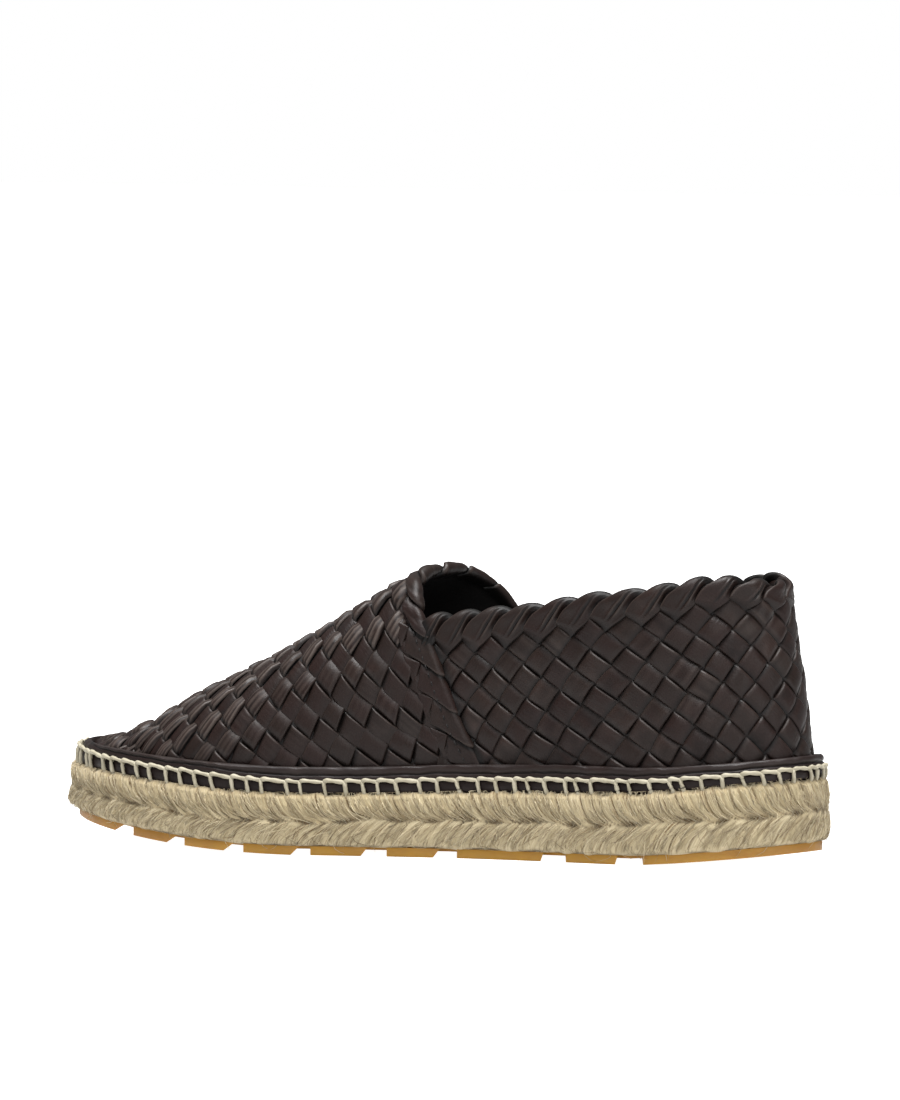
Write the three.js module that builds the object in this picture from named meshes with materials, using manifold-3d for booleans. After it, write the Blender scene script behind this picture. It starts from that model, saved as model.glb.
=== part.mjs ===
// Espadrille: woven leather upper on a braided jute sole with a lugged gum outsole.
// Millimetres. +X points to the toe, +Y to the inner side of the foot, +Z up from the floor.
import * as THREE from 'three';
import Module from 'manifold-3d';
import { mergeVertices } from 'three/addons/utils/BufferGeometryUtils.js';

const wasm = await Module();
wasm.setup();

// Sole sizes
const soleLength = 280;
const seam = 0.3;
const lugHeight = 3.4;
const lugInset = 2.8;
const treadBase = 1.2;
const treadBaseInset = 6;
const treadBaseEnd = 0.3;
const treadBaseGap = 0.25;
const lugTopGap = 0.35;
const toeSpring = 10.8;
const toeSpringStart = 0.62;
const toeSpringBend = 1.7;
const heelRise = 4.8;
const heelRiseEnd = 0.2;
const heelRiseBend = 1.3;
const braidColumns = 160;

// Leather sizes
const upperInset = 5.6;
const wall = 1.8;
const vampLining = 1.4;
const strapRise = 0.5;
const strapDip = 0.4;
const scallop = 1.6;
const collarRoll = 0.7;
const outerCollarDrop = 1.5;
const outerCollarReach = 60;
const heelLean = 11.2;
const heelLeanReach = 0.4;
const heelLeanHeight = 66;
const heelLeanBend = 1.3;
const heelLeanMost = 1.2;
const vampStep = 1.3;
const vampStepFade = 45;
const vampStepFoot = 0.3;
const vampStepRise = 9;
const underlap = 7;
const throatSkew = 0.11;
const insoleInset = 11;
const insoleThickness = 2.5;
const insoleColumns = 64;

// Weave of the quarter: half pitches along and down, how far the columns crowd together towards the
// vamp, the length of the leaves at the collar, and how the rows lean back on their way down
const quarterColumn = 7.3;
const quarterShift = -0.75;
const quarterEven = 12;
const quarterCrowd = 0.14;
const quarterTip = 9.4;
const quarterTipDrop = 0.13;
const quarterRow = 5.55;
const quarterRowGrowth = 0.04;
const quarterLean = 0.5;
const quarterLeanGrowth = 0.1;
const quarterColumns = 34;
const quarterRows = 14;

// Weave of the vamp: half pitches along and round it, how the columns spread and lean towards the
// sides, and how the rows narrow and sweep to the inner side towards the toe
const vampStart = 16.5;
const vampColumn = 4.5;
const vampRow = 6.55;
const vampRowGrowth = 0.06;
const vampShoulder = 4;
const vampTurn = 4;
const vampRise = 0.35;
const vampSpread = 0.18;
const vampLean = 1.16;
const vampLeanGrowth = 0.17;
const vampNarrowing = 0.1;
const vampSweep = [2.7, -0.2, 0.056];
const vampColumns = [-16, 36];
const vampRows = [-30, 18];
const vampPast = 3;
const vampBehind = 10;

// One row per cross section, from the heel (0) to the toe (1): half widths of the jute on both sides,
// tops of the jute and of the rand over the tread, the crest of the last and how far it stands to the
// inner side, and how square the arch of the section is.
const sections = [
  { at: 0.00, inner: 0.0, outer: 0.0, jute: 24.0, rand: 31.8, crest: 128.0, ridge: 0.0, square: 3.0 },
  { at: 0.03, inner: 19.0, outer: 19.0, jute: 24.0, rand: 31.8, crest: 128.0, ridge: 0.0, square: 3.0 },
  { at: 0.08, inner: 28.5, outer: 28.5, jute: 24.0, rand: 31.8, crest: 128.0, ridge: 0.0, square: 3.0 },
  { at: 0.15, inner: 34.0, outer: 34.0, jute: 23.8, rand: 31.7, crest: 127.0, ridge: 0.0, square: 3.0 },
  { at: 0.25, inner: 34.0, outer: 36.5, jute: 23.2, rand: 31.4, crest: 124.0, ridge: 0.0, square: 3.0 },
  { at: 0.35, inner: 32.0, outer: 39.5, jute: 22.6, rand: 30.8, crest: 117.0, ridge: 1.0, square: 3.0 },
  { at: 0.45, inner: 33.0, outer: 42.5, jute: 21.6, rand: 30.0, crest: 104.0, ridge: 2.0, square: 3.0 },
  { at: 0.50, inner: 35.5, outer: 44.0, jute: 21.0, rand: 29.3, crest: 95.0, ridge: 3.0, square: 2.95 },
  { at: 0.55, inner: 38.5, outer: 45.5, jute: 20.6, rand: 28.8, crest: 88.3, ridge: 3.5, square: 2.85 },
  { at: 0.65, inner: 46.0, outer: 48.0, jute: 20.3, rand: 28.4, crest: 72.8, ridge: 3.5, square: 2.55 },
  { at: 0.72, inner: 49.0, outer: 49.0, jute: 20.2, rand: 28.3, crest: 62.6, ridge: 3.5, square: 2.4 },
  { at: 0.80, inner: 47.0, outer: 47.0, jute: 19.9, rand: 28.2, crest: 52.2, ridge: 3.0, square: 2.3 },
  { at: 0.88, inner: 40.0, outer: 38.5, jute: 19.2, rand: 27.4, crest: 40.4, ridge: 2.0, square: 2.2 },
  { at: 0.94, inner: 30.0, outer: 27.0, jute: 18.0, rand: 25.8, crest: 35.2, ridge: 1.0, square: 2.2 },
  { at: 0.98, inner: 17.5, outer: 15.0, jute: 17.0, rand: 24.2, crest: 34.2, ridge: 0.5, square: 2.2 },
  { at: 1.00, inner: 0.0, outer: 0.0, jute: 16.6, rand: 23.6, crest: 33.7, ridge: 0.0, square: 2.2 },
];

// Collar height over the floor along the inner side
const collarLine = [
  { x: -140, z: 93.0 },
  { x: -118, z: 93.8 },
  { x: -105, z: 91.6 },
  { x: -85, z: 88.6 },
  { x: -70, z: 87.2 },
  { x: -47, z: 83.2 },
  { x: -32, z: 81.4 },
  { x: -6, z: 78.5 },
  { x: 10, z: 77.5 },
];

// Back edge of the vamp in the side view, from the rand up to the throat
const vampEdge = [
  { z: 10, x: -35 },
  { z: 30, x: -29 },
  { z: 46, x: -21 },
  { z: 68, x: -11.5 },
  { z: 79, x: -6 },
  { z: 87.6, x: -2 },
  { z: 92, x: 0.3 },
  { z: 97, x: 1.5 },
  { z: 110, x: 2 },
];

// Side of the braid from its foot up: height share, inset, rib depth, slant in rib columns
const braidRows = [
  { rise: 0.00, inset: 3.6, rib: 0.0, slant: 0.0 },
  { rise: 0.14, inset: 0.5, rib: 0.9, slant: -0.6 },
  { rise: 0.34, inset: 0.5, rib: 0.9, slant: -1.4 },
  { rise: 0.48, inset: 2.0, rib: 0.4, slant: -2.0 },
  { rise: 0.64, inset: 0.6, rib: 0.9, slant: -1.4 },
  { rise: 0.86, inset: 0.8, rib: 0.9, slant: -0.6 },
  { rise: 1.00, inset: 3.2, rib: 0.0, slant: 0.0 },
];

// Closed cross section of the rand: height share between the jute and the rand's top edge, and inset
const randProfile = [
  { level: 0.00, inset: 2.9 },
  { level: 0.46, inset: 3.1 },
  { level: 0.52, inset: 2.4 },
  { level: 0.64, inset: 2.4 },
  { level: 0.72, inset: 3.0 },
  { level: 1.00, inset: 3.4 },
  { level: 1.00, inset: 4.3 },
  { level: 0.00, inset: 4.3 },
];
const randColumns = 72;

// Lugs from the heel to the toe: both ends along the middle of the tread, and how far the heel-side
// face slopes. The grooves between them run further forward on the outer side.
const grooveSkew = 0.53;
const lugs = [
  { toe: -72.6, slope: 0, stations: 10, rounded: 'heel' },
  { heel: -63.2, toe: -43.9, slope: 1.1, stations: 3, rounded: '' },
  { heel: -35.6, toe: -3.1, slope: 1.2, stations: 4, rounded: '' },
  { heel: 3.3, toe: 23.3, slope: 2.6, stations: 3, rounded: '' },
  { heel: 30.4, toe: 52.0, slope: 2.7, stations: 4, rounded: '' },
  { heel: 56.1, toe: 77.3, slope: 3.4, stations: 4, rounded: '' },
  { heel: 80.6, toe: 99.6, slope: 4.2, stations: 5, rounded: '' },
  { heel: 102.2, toe: 119.2, slope: 4.2, stations: 5, rounded: '' },
  { heel: 122.2, slope: 4.0, stations: 8, rounded: 'toe' },
];

// Small maths
const clamp = (value, low, high) => Math.min(Math.max(value, low), high);

function smoothStep(value, low, high) {
  const t = clamp((value - low) / (high - low), 0, 1);
  return t * t * (3 - 2 * t);
}

// Smooth curve through [x, y] points with rising x
function curveThrough(points) {
  const chords = points.slice(1).map((point, i) => {
    const width = point[0] - points[i][0];
    return { width, slope: (point[1] - points[i][1]) / width };
  });
  const slopes = points.map((point, i) => {
    if (i === 0) return chords[0].slope;
    if (i === points.length - 1) return chords[i - 1].slope;
    const before = chords[i - 1];
    const after = chords[i];
    return (before.slope * after.width + after.slope * before.width) / (before.width + after.width);
  });
  return (x) => {
    let i = 0;
    while (i < chords.length - 1 && x > points[i + 1][0]) i += 1;
    const { width } = chords[i];
    const t = clamp((x - points[i][0]) / width, 0, 1);
    const rest = 1 - t;
    const start = points[i][1] * (1 + 2 * t) * rest * rest;
    const end = points[i + 1][1] * (3 - 2 * t) * t * t;
    return start + end + width * t * rest * (slopes[i] * rest - slopes[i + 1] * t);
  };
}

const column = (rows, along, value) => curveThrough(rows.map((row) => [row[along], row[value]]));

// Sole outline, worked out in the turn angle, which is 0 at the heel and pi at the toe
const turnAt = (at) => Math.acos(1 - 2 * at);

function halfWidth(side) {
  const knots = sections.map((row) => [turnAt(row.at), row[side]]);
  const second = knots[1];
  const lastButOne = knots[knots.length - 2];
  const heelMirror = [-second[0], -second[1]];
  const toeMirror = [2 * Math.PI - lastButOne[0], -lastButOne[1]];
  return curveThrough([heelMirror, ...knots, toeMirror]);
}

const rimSamples = 400;

function sampleRim(side, sign) {
  const width = halfWidth(side);
  const nudge = 1e-3;
  const rim = [];
  let run = 0;
  for (let n = 0; n <= rimSamples; n += 1) {
    const turn = (Math.PI * n) / rimSamples;
    const x = (-soleLength / 2) * Math.cos(turn);
    const y = sign * width(turn);
    const alongX = (soleLength / 2) * Math.sin(turn);
    const alongY = (width(turn + nudge) - width(turn - nudge)) / (2 * nudge);
    const size = Math.hypot(alongX, alongY);
    if (n > 0) run += Math.hypot(x - rim[n - 1].x, y - rim[n - 1].y);
    rim.push({ x, y, outX: -alongY / size, outY: (sign * alongX) / size, run });
  }
  return rim;
}

const rims = { inner: sampleRim('inner', 1), outer: sampleRim('outer', -1) };

// Point on the outline, by its share of the way from heel to toe, moved inward
function rimPoint(side, share, inset) {
  const rim = rims[side];
  const run = clamp(share, 0, 1) * rim[rimSamples].run;
  let low = 0;
  let high = rimSamples;
  while (high - low > 1) {
    const middle = (low + high) >> 1;
    if (rim[middle].run > run) high = middle;
    else low = middle;
  }
  const t = (run - rim[low].run) / (rim[high].run - rim[low].run);
  const mix = (key) => rim[low][key] + (rim[high][key] - rim[low][key]) * t;
  return { x: mix('x') - mix('outX') * inset, y: mix('y') - mix('outY') * inset };
}

// Point of a closed ring of columns that starts at the heel and runs along the inner side first
function ringPoint(place, count, inset) {
  const turn = (((place / count) % 1) + 1) % 1;
  return turn <= 0.5 ? rimPoint('inner', turn * 2, inset) : rimPoint('outer', 2 - turn * 2, inset);
}

// Both sides of the inset outline, each read by the line across the tread that meets it
const treadSamples = 720;

function treadSides(inset) {
  const ring = Array.from({ length: treadSamples }, (unused, k) => {
    const { x, y } = ringPoint(k, treadSamples, inset);
    return { x, y, line: x + grooveSkew * y };
  });
  const lines = ring.map((point) => point.line);
  const low = Math.min(...lines);
  const high = Math.max(...lines);
  const heel = lines.indexOf(low);
  const toe = lines.indexOf(high);
  const arc = (step) => {
    const points = [];
    for (let k = heel; points.length === 0 || points[points.length - 1] !== ring[toe]; k += step) {
      points.push(ring[(k + treadSamples) % treadSamples]);
    }
    return points;
  };
  const reader = (points) => (line) => {
    let n = 1;
    while (n < points.length - 1 && points[n].line < line) n += 1;
    const [a, b] = [points[n - 1], points[n]];
    const t = clamp((line - a.line) / (b.line - a.line), 0, 1);
    return { x: a.x + (b.x - a.x) * t, y: a.y + (b.y - a.y) * t };
  };
  return { low, high, inner: reader(arc(1)), outer: reader(arc(-1)) };
}

// Heights along the shoe
const shareOf = (x) => clamp(x / soleLength + 0.5, 0, 1);
const juteTop = column(sections, 'at', 'jute');
const randTop = column(sections, 'at', 'rand');
const crestTop = column(sections, 'at', 'crest');
const ridgeSide = column(sections, 'at', 'ridge');
const squareness = column(sections, 'at', 'square');
const collarHeight = column(collarLine, 'x', 'z');
const vampEdgeX = column(vampEdge, 'z', 'x');

function spring(x) {
  const toe = clamp((shareOf(x) - toeSpringStart) / (1 - toeSpringStart), 0, 1);
  const heel = clamp((heelRiseEnd - shareOf(x)) / heelRiseEnd, 0, 1);
  return toeSpring * toe ** toeSpringBend + heelRise * heel ** heelRiseBend;
}

const juteFoot = (x) => lugHeight + seam + spring(x);
const soleTop = (x) => juteTop(shareOf(x)) + spring(x);
const seatTop = (x) => soleTop(x) + seam;
const randEdge = (x) => randTop(shareOf(x)) + spring(x);

// Solids
function solidFrom(points, triangles) {
  let volume = 0;
  for (const [a, b, c] of triangles) {
    const [p, q, r] = [points[a], points[b], points[c]];
    volume += p[0] * (q[1] * r[2] - q[2] * r[1]);
    volume += p[1] * (q[2] * r[0] - q[0] * r[2]);
    volume += p[2] * (q[0] * r[1] - q[1] * r[0]);
  }
  const facing = volume < 0 ? triangles.map(([a, b, c]) => [a, c, b]) : triangles;
  const vertProperties = new Float32Array(points.flat());
  const triVerts = new Uint32Array(facing.flat());
  return new wasm.Manifold(new wasm.Mesh({ numProp: 3, vertProperties, triVerts }));
}

function meshFrom(name, solid, material) {
  const { vertProperties, triVerts } = solid.getMesh();
  const geometry = new THREE.BufferGeometry();
  geometry.setAttribute('position', new THREE.BufferAttribute(vertProperties, 3));
  geometry.setIndex(new THREE.BufferAttribute(triVerts, 1));
  geometry.computeVertexNormals();
  const mesh = new THREE.Mesh(geometry, material);
  mesh.name = name;
  return mesh;
}

// The body alone, with any slit shut in between two lapped pieces filled
function largestBody(solid) {
  return solid.decompose().sort((a, b) => b.volume() - a.volume())[0];
}

// Stack of rings with the same number of columns, closed across the first and the last ring
function stackedSolid(rings) {
  const count = rings[0].length;
  const points = rings.flat();
  const triangles = [];
  for (let row = 0; row < rings.length - 1; row += 1) {
    for (let k = 0; k < count; k += 1) {
      const a = row * count + k;
      const b = row * count + ((k + 1) % count);
      triangles.push([a, b, b + count], [a, b + count, a + count]);
    }
  }
  const lid = (first, flip) => {
    for (let k = 0; k < count / 2; k += 1) {
      const a = first + k;
      const b = first + k + 1;
      const c = first + ((count - k - 1) % count);
      const d = first + ((count - k) % count);
      if (k > 0) triangles.push(flip ? [a, c, d] : [a, d, c]);
      if (k < count / 2 - 1) triangles.push(flip ? [a, b, c] : [a, c, b]);
    }
  };
  lid(0, false);
  lid((rings.length - 1) * count, true);
  return solidFrom(points, triangles);
}

// Closed loop of equal closed profiles
function hoopSolid(profiles) {
  const size = profiles[0].length;
  const points = profiles.flat();
  const triangles = [];
  profiles.forEach((profile, k) => {
    const next = (k + 1) % profiles.length;
    for (let row = 0; row < size; row += 1) {
      const above = (row + 1) % size;
      const [a, b] = [k * size + row, next * size + row];
      const [c, d] = [next * size + above, k * size + above];
      triangles.push([a, b, c], [a, c, d]);
    }
  });
  return solidFrom(points, triangles);
}

const floorStations = 29;

// Row of stations with equal numbers of corners, closed at both ends
function barSolid(stations) {
  const size = stations[0].length;
  const points = stations.flat();
  const triangles = [];
  const end = points.length - size;
  for (let corner = 1; corner < size - 1; corner += 1) {
    triangles.push([0, corner + 1, corner], [end, end + corner, end + corner + 1]);
  }
  for (let s = 0; s < stations.length - 1; s += 1) {
    for (let corner = 0; corner < size; corner += 1) {
      const a = s * size + corner;
      const b = s * size + ((corner + 1) % size);
      triangles.push([a, b, b + size], [a, b + size, a + size]);
    }
  }
  return solidFrom(points, triangles);
}

// Prism with its outline in the side view, across the whole shoe; with a skew it runs further
// forward on the inner side
function sidePrism(outline, skew) {
  const depth = 200;
  const shape = new THREE.Shape(outline.map(([x, z]) => new THREE.Vector2(x, z)));
  const geometry = new THREE.ExtrudeGeometry(shape, { depth, bevelEnabled: false });
  geometry.rotateX(Math.PI / 2);
  geometry.translate(0, depth / 2, 0);
  geometry.deleteAttribute('normal');
  geometry.deleteAttribute('uv');
  geometry.applyMatrix4(new THREE.Matrix4().set(1, skew, 0, 0, 0, 1, 0, 0, 0, 0, 1, 0, 0, 0, 0, 1));
  const merged = mergeVertices(geometry);
  const vertProperties = new Float32Array(merged.attributes.position.array);
  const triVerts = new Uint32Array(merged.index.array);
  return new wasm.Manifold(new wasm.Mesh({ numProp: 3, vertProperties, triVerts }));
}

// Gum outsole: a thin inset sheet with slanted lugs under it
function treadStation(sides, topLine, footLine, top, foot) {
  const edge = (line, height) => {
    const [inner, outer] = [sides.inner(line), sides.outer(line)];
    const middle = { x: (inner.x + outer.x) / 2, y: (inner.y + outer.y) / 2 };
    return [inner, middle, outer].map(({ x, y }) => [x, y, height + spring(x)]);
  };
  return [...edge(topLine, top), ...edge(footLine, foot).reverse()];
}

function spread(from, to, count, rounded) {
  return Array.from({ length: count }, (unused, n) => {
    const t = n / (count - 1);
    const bend = (t * Math.PI) / 2;
    const eased = { heel: 1 - Math.cos(bend), toe: Math.sin(bend), '': t }[rounded];
    return from + (to - from) * eased;
  });
}

function buildOutsole() {
  const baseSides = treadSides(treadBaseInset);
  const baseLines = spread(baseSides.low + treadBaseEnd, 0, 10, 'heel');
  baseLines.push(...spread(0, baseSides.high - treadBaseEnd, 12, 'toe').slice(1));
  const baseTop = lugHeight - treadBaseGap;
  const base = baseLines.map((line) => treadStation(baseSides, line, line, baseTop, baseTop - treadBase));
  const sides = treadSides(lugInset);
  const tread = lugs.reduce((whole, lug) => {
    const heel = lug.rounded === 'heel' ? sides.low + treadBaseEnd : lug.heel;
    const toe = lug.rounded === 'toe' ? sides.high - treadBaseEnd : lug.toe;
    const tops = spread(heel, toe, lug.stations, lug.rounded);
    const feet = spread(heel + lug.slope, toe, lug.stations, lug.rounded);
    const bars = tops.map((line, n) => treadStation(sides, line, feet[n], lugHeight - lugTopGap, 0));
    return whole.add(barSolid(bars));
  }, barSolid(base));
  return largestBody(tread);
}

// Jute midsole: two braided rows
function buildMidsole() {
  const rings = braidRows.map((row) => {
    return Array.from({ length: braidColumns }, (unused, k) => {
      const rib = row.rib * (k % 2 === 0 ? 0 : 1);
      const { x, y } = ringPoint(k + row.slant, braidColumns, row.inset + rib);
      const foot = juteFoot(x);
      return [x, y, foot + (soleTop(x) - foot) * row.rise];
    });
  });
  return stackedSolid(rings);
}

// Leather rand round the foot of the upper
function buildRand() {
  const profiles = Array.from({ length: randColumns }, (unused, k) => randProfile.map((row) => {
    const { x, y } = ringPoint(k, randColumns, row.inset);
    return [x, y, seatTop(x) + (randEdge(x) - seatTop(x)) * row.level];
  }));
  return hoopSolid(profiles);
}

// Footbed on the jute inside the upper
function buildInsole() {
  const rings = [0, insoleThickness].map((rise) => {
    return Array.from({ length: insoleColumns }, (unused, k) => {
      const { x, y } = ringPoint(k, insoleColumns, insoleInset);
      return [x, y, seatTop(x) + rise];
    });
  });
  return stackedSolid(rings);
}

// The last: each section is an arch from the inner rim over the ridge to the outer rim
function lastSection(innerShare, outerShare) {
  const inner = rimPoint('inner', innerShare, upperInset);
  const outer = rimPoint('outer', outerShare, upperInset);
  const x = (inner.x + outer.x) / 2;
  const at = shareOf(x);
  return {
    inner,
    outer,
    x,
    at,
    y: ridgeSide(at),
    foot: seatTop(x),
    height: crestTop(at) - seatTop(x),
    square: squareness(at),
  };
}

// Point of a section at a share of its height; shares below zero go straight down
function archPoint(section, side, share) {
  const up = clamp(share, 0, 1);
  const wide = (1 - up ** section.square) ** (1 / section.square);
  const rim = section[side];
  const rise = section.height * share;
  const lean = heelLean * clamp(1 - section.at / heelLeanReach, 0, 1) ** 2;
  const tilt = lean * clamp(rise / heelLeanHeight, 0, heelLeanMost) ** heelLeanBend;
  return new THREE.Vector3(
    section.x + (rim.x - section.x) * wide + tilt,
    section.y + (rim.y - section.y) * wide,
    section.foot + rise,
  );
}

// Quarter: along is the way round from the middle of the heel, plus on the inner side;
// down is the drop from the collar
function quarterPoint(along, down) {
  const side = along >= 0 ? 'inner' : 'outer';
  const share = Math.abs(along) / rims[side][rimSamples].run;
  const section = lastSection(share, share);
  const drop = along >= 0 ? 0 : outerCollarDrop * smoothStep(-along, 0, outerCollarReach);
  const height = collarHeight(section[side].x) - drop - down;
  return archPoint(section, side, (height - section.foot) / section.height);
}

// Vamp: along is the way down the crest from the throat to the toe, across is the way round the
// section from the crest, plus on the inner side
const crestStations = 160;
const crestFrom = 0.3;
const crestTo = 0.992;
const archSteps = 48;

function sampleCrest() {
  const stations = [];
  let run = 0;
  for (let n = 0; n <= crestStations; n += 1) {
    const share = crestFrom + ((crestTo - crestFrom) * n) / crestStations;
    const top = archPoint(lastSection(share, share), 'inner', 1);
    if (n > 0) run += top.distanceTo(stations[n - 1].top);
    stations.push({ share, top, run });
  }
  const throatX = vampEdge[vampEdge.length - 2].x;
  const throat = stations.find((station) => station.top.x >= throatX).run;
  return stations.map(({ share, run: way }) => ({ share, along: way - throat }));
}

const crest = sampleCrest();
const crestEnd = crest[crestStations].along;

function crestShare(along) {
  const limited = clamp(along, crest[0].along, crestEnd);
  let n = 0;
  while (n < crestStations - 1 && crest[n + 1].along < limited) n += 1;
  const t = (limited - crest[n].along) / (crest[n + 1].along - crest[n].along);
  return crest[n].share + (crest[n + 1].share - crest[n].share) * t;
}

function archRun(section, side) {
  const marks = [];
  let run = 0;
  for (let n = 0; n <= archSteps; n += 1) {
    const angle = (Math.PI / 2) * (1 - n / archSteps);
    const share = Math.sin(angle) ** (2 / section.square);
    const point = archPoint(section, side, share);
    if (n > 0) run += point.distanceTo(marks[n - 1].point);
    marks.push({ share, point, run });
  }
  return marks;
}

function vampPoint(along, across) {
  const share = crestShare(along);
  const section = lastSection(share, share);
  const side = across >= 0 ? 'inner' : 'outer';
  const marks = archRun(section, side);
  const run = Math.abs(across);
  const past = run - marks[archSteps].run;
  let point;
  if (past > 0) {
    point = archPoint(section, side, -past / section.height);
  } else {
    let n = 0;
    while (n < archSteps - 1 && marks[n + 1].run < run) n += 1;
    const t = (run - marks[n].run) / (marks[n + 1].run - marks[n].run);
    point = marks[n].point.clone().lerp(marks[n + 1].point, t);
  }
  point.z -= Math.max(0, along - crestEnd);
  return point;
}

const vampReach = (along, side) => {
  const share = crestShare(along);
  return archRun(lastSection(share, share), side)[archSteps].run;
};

// How far the vamp stands out over the quarter
function vampLift(point, along) {
  const clear = smoothStep(point.z - randEdge(point.x), 0, vampStepRise);
  const near = 1 - smoothStep(along, 0, vampStepFade);
  return vampStepFoot + (vampStep - vampStepFoot) * clear * near;
}

// Point moved out along the normal of a surface function
const normalStep = 0.4;

function offsetPoint(surface, u, v, out) {
  const alongU = surface(u + normalStep, v).sub(surface(u - normalStep, v));
  const alongV = surface(u, v + normalStep).sub(surface(u, v - normalStep));
  const normal = alongU.cross(alongV).normalize();
  return surface(u, v).addScaledVector(normal, out);
}

// Wall of diamond cells. Each cell has a ridge along the strap that lies on top there, and straps
// in the two directions take turns from column to column.
const strapHalf = 0.3;

function wovenWall(cells, place) {
  const points = [];
  const triangles = [];
  const known = new Map();
  const edges = new Map();
  const add = (point) => points.push(point.toArray()) - 1;
  const corner = (i, j, layer) => {
    const key = `${i},${j},${layer}`;
    if (!known.has(key)) known.set(key, add(place(i, j, layer)));
    return known.get(key);
  };
  for (const [i, j] of cells) {
    const ring = [[i - 1, j], [i, j + 1], [i + 1, j], [i, j - 1]];
    const lean = i % 2 === 0 ? 1 : -1;
    const [w, s, e, n] = ring.map(([a, b]) => corner(a, b, 'dip'));
    const low = add(place(i - strapHalf, j - strapHalf * lean, 'strap'));
    const high = add(place(i + strapHalf, j + strapHalf * lean, 'strap'));
    if (lean > 0) {
      triangles.push([n, w, low], [s, e, high], [w, s, high], [w, high, low], [e, n, low], [e, low, high]);
    } else {
      triangles.push([w, s, low], [e, n, high], [s, e, high], [s, high, low], [n, w, low], [n, low, high]);
    }
    const [wi, si, ei, ni] = ring.map(([a, b]) => corner(a, b, 'lining'));
    triangles.push([wi, ei, si], [wi, ni, ei]);
    ring.forEach(([a, b], k) => {
      const [c, d] = ring[(k + 1) % 4];
      const back = `${c},${d},${a},${b}`;
      if (edges.has(back)) edges.delete(back);
      else edges.set(`${a},${b},${c},${d}`, [a, b, c, d]);
    });
  }
  for (const [a, b, c, d] of edges.values()) {
    const [from, to] = [corner(a, b, 'dip'), corner(c, d, 'dip')];
    const [fromIn, toIn] = [corner(a, b, 'lining'), corner(c, d, 'lining')];
    triangles.push([from, fromIn, toIn], [from, toIn, to]);
  }
  return solidFrom(points, triangles);
}

const layerOut = { dip: -strapDip, strap: strapRise, lining: -wall };

// Woven quarter, from the inner side round the heel to the outer side
function quarterPlace(i, j) {
  const shifted = i + quarterShift;
  const columns = Math.abs(shifted);
  const below = Math.max(0, j - 1);
  const crowd = quarterCrowd * Math.max(0, columns - quarterEven) ** 2;
  const lean = below * (quarterLean + quarterLeanGrowth * below) * smoothStep(columns, 0, quarterEven);
  const tip = quarterTip + quarterTipDrop * columns;
  const top = j < 0 ? j * scallop : Math.min(j, 1) * tip;
  return {
    along: Math.sign(shifted) * (quarterColumn * columns - crowd - lean),
    down: top + quarterRow * below + quarterRowGrowth * below ** 2,
  };
}

function buildQuarter() {
  const cells = [];
  for (let i = -quarterColumns; i <= quarterColumns; i += 1) {
    for (let j = 0; j <= quarterRows; j += 1) {
      const { along, down } = quarterPlace(i, j - 1);
      const deepest = quarterPoint(along, down);
      if ((i + j) % 2 === 0 && deepest.z > seatTop(deepest.x)) cells.push([i, j]);
    }
  }
  const place = (i, j, layer) => {
    const { along, down } = quarterPlace(i, j);
    const roll = j <= 0 && layer !== 'lining' ? collarRoll : 0;
    return offsetPoint(quarterPoint, along, down, layerOut[layer] + roll);
  };
  return wovenWall(cells, place);
}

// Woven vamp, lapped over the quarter
function vampPlace(i, j) {
  const c = i - 1;
  const rows = Math.sqrt(j * j + vampTurn) - vampRise - vampShoulder;
  const sweep = vampSweep[0] + vampSweep[1] * c + vampSweep[2] * c * c;
  const past = Math.sign(j) * Math.max(0, Math.abs(j) - vampShoulder) ** 2;
  return {
    along: vampStart + vampColumn * c + rows * (vampSpread * c - vampLean) - vampLeanGrowth * rows * rows,
    across: sweep + (vampRow - vampNarrowing * c) * j + vampRowGrowth * past,
  };
}

function buildVamp() {
  const cells = [];
  for (let i = vampColumns[0]; i <= vampColumns[1]; i += 1) {
    for (let j = vampRows[0]; j <= vampRows[1]; j += 1) {
      if ((i + j) % 2 !== 0) continue;
      const { along, across } = vampPlace(i, j);
      const middle = vampPoint(along, across);
      const ring = [[i - 1, j], [i, j + 1], [i + 1, j], [i, j - 1]].map(([a, b]) => vampPlace(a, b));
      const seen = ring.some((corner) => {
        return Math.abs(corner.across) < vampReach(corner.along, corner.across >= 0 ? 'inner' : 'outer');
      });
      const behind = vampEdgeX(middle.z) + throatSkew * middle.y - middle.x > vampBehind;
      if (seen && !behind && along < crestEnd + vampPast) cells.push([i, j]);
    }
  }
  const place = (i, j, layer) => {
    const { along, across } = vampPlace(i, j);
    const lift = vampLift(vampPoint(along, across), along);
    const out = layer === 'lining' ? -vampLining : layerOut[layer] + lift;
    return offsetPoint(vampPoint, along, across, out);
  };
  return wovenWall(cells, place);
}

// Whole upper: the vamp ends at its back edge, the quarter runs a little under it, and both are cut
// level with the top of the jute
function buildUpper() {
  const far = soleLength;
  const lowest = vampEdge[0].z;
  const edge = (shift) => vampEdge.map(({ x, z }) => [x + shift, z]);
  const behindVamp = sidePrism([...edge(0), [0, far], [-far, far], [-far, lowest]], throatSkew);
  const aheadOfQuarter = sidePrism([...edge(underlap), [far, far], [far, lowest]], throatSkew);
  const floorLine = spread(-soleLength / 2, soleLength / 2, floorStations, '').map((x) => [x, seatTop(x)]);
  const below = sidePrism([[-far, 0], [-far, seatTop(-far)], ...floorLine, [far, seatTop(far)], [far, 0]], 0);
  const quarter = buildQuarter().subtract(aheadOfQuarter);
  const vamp = buildVamp().subtract(behindVamp);
  return largestBody(quarter.add(vamp).subtract(below));
}

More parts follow.
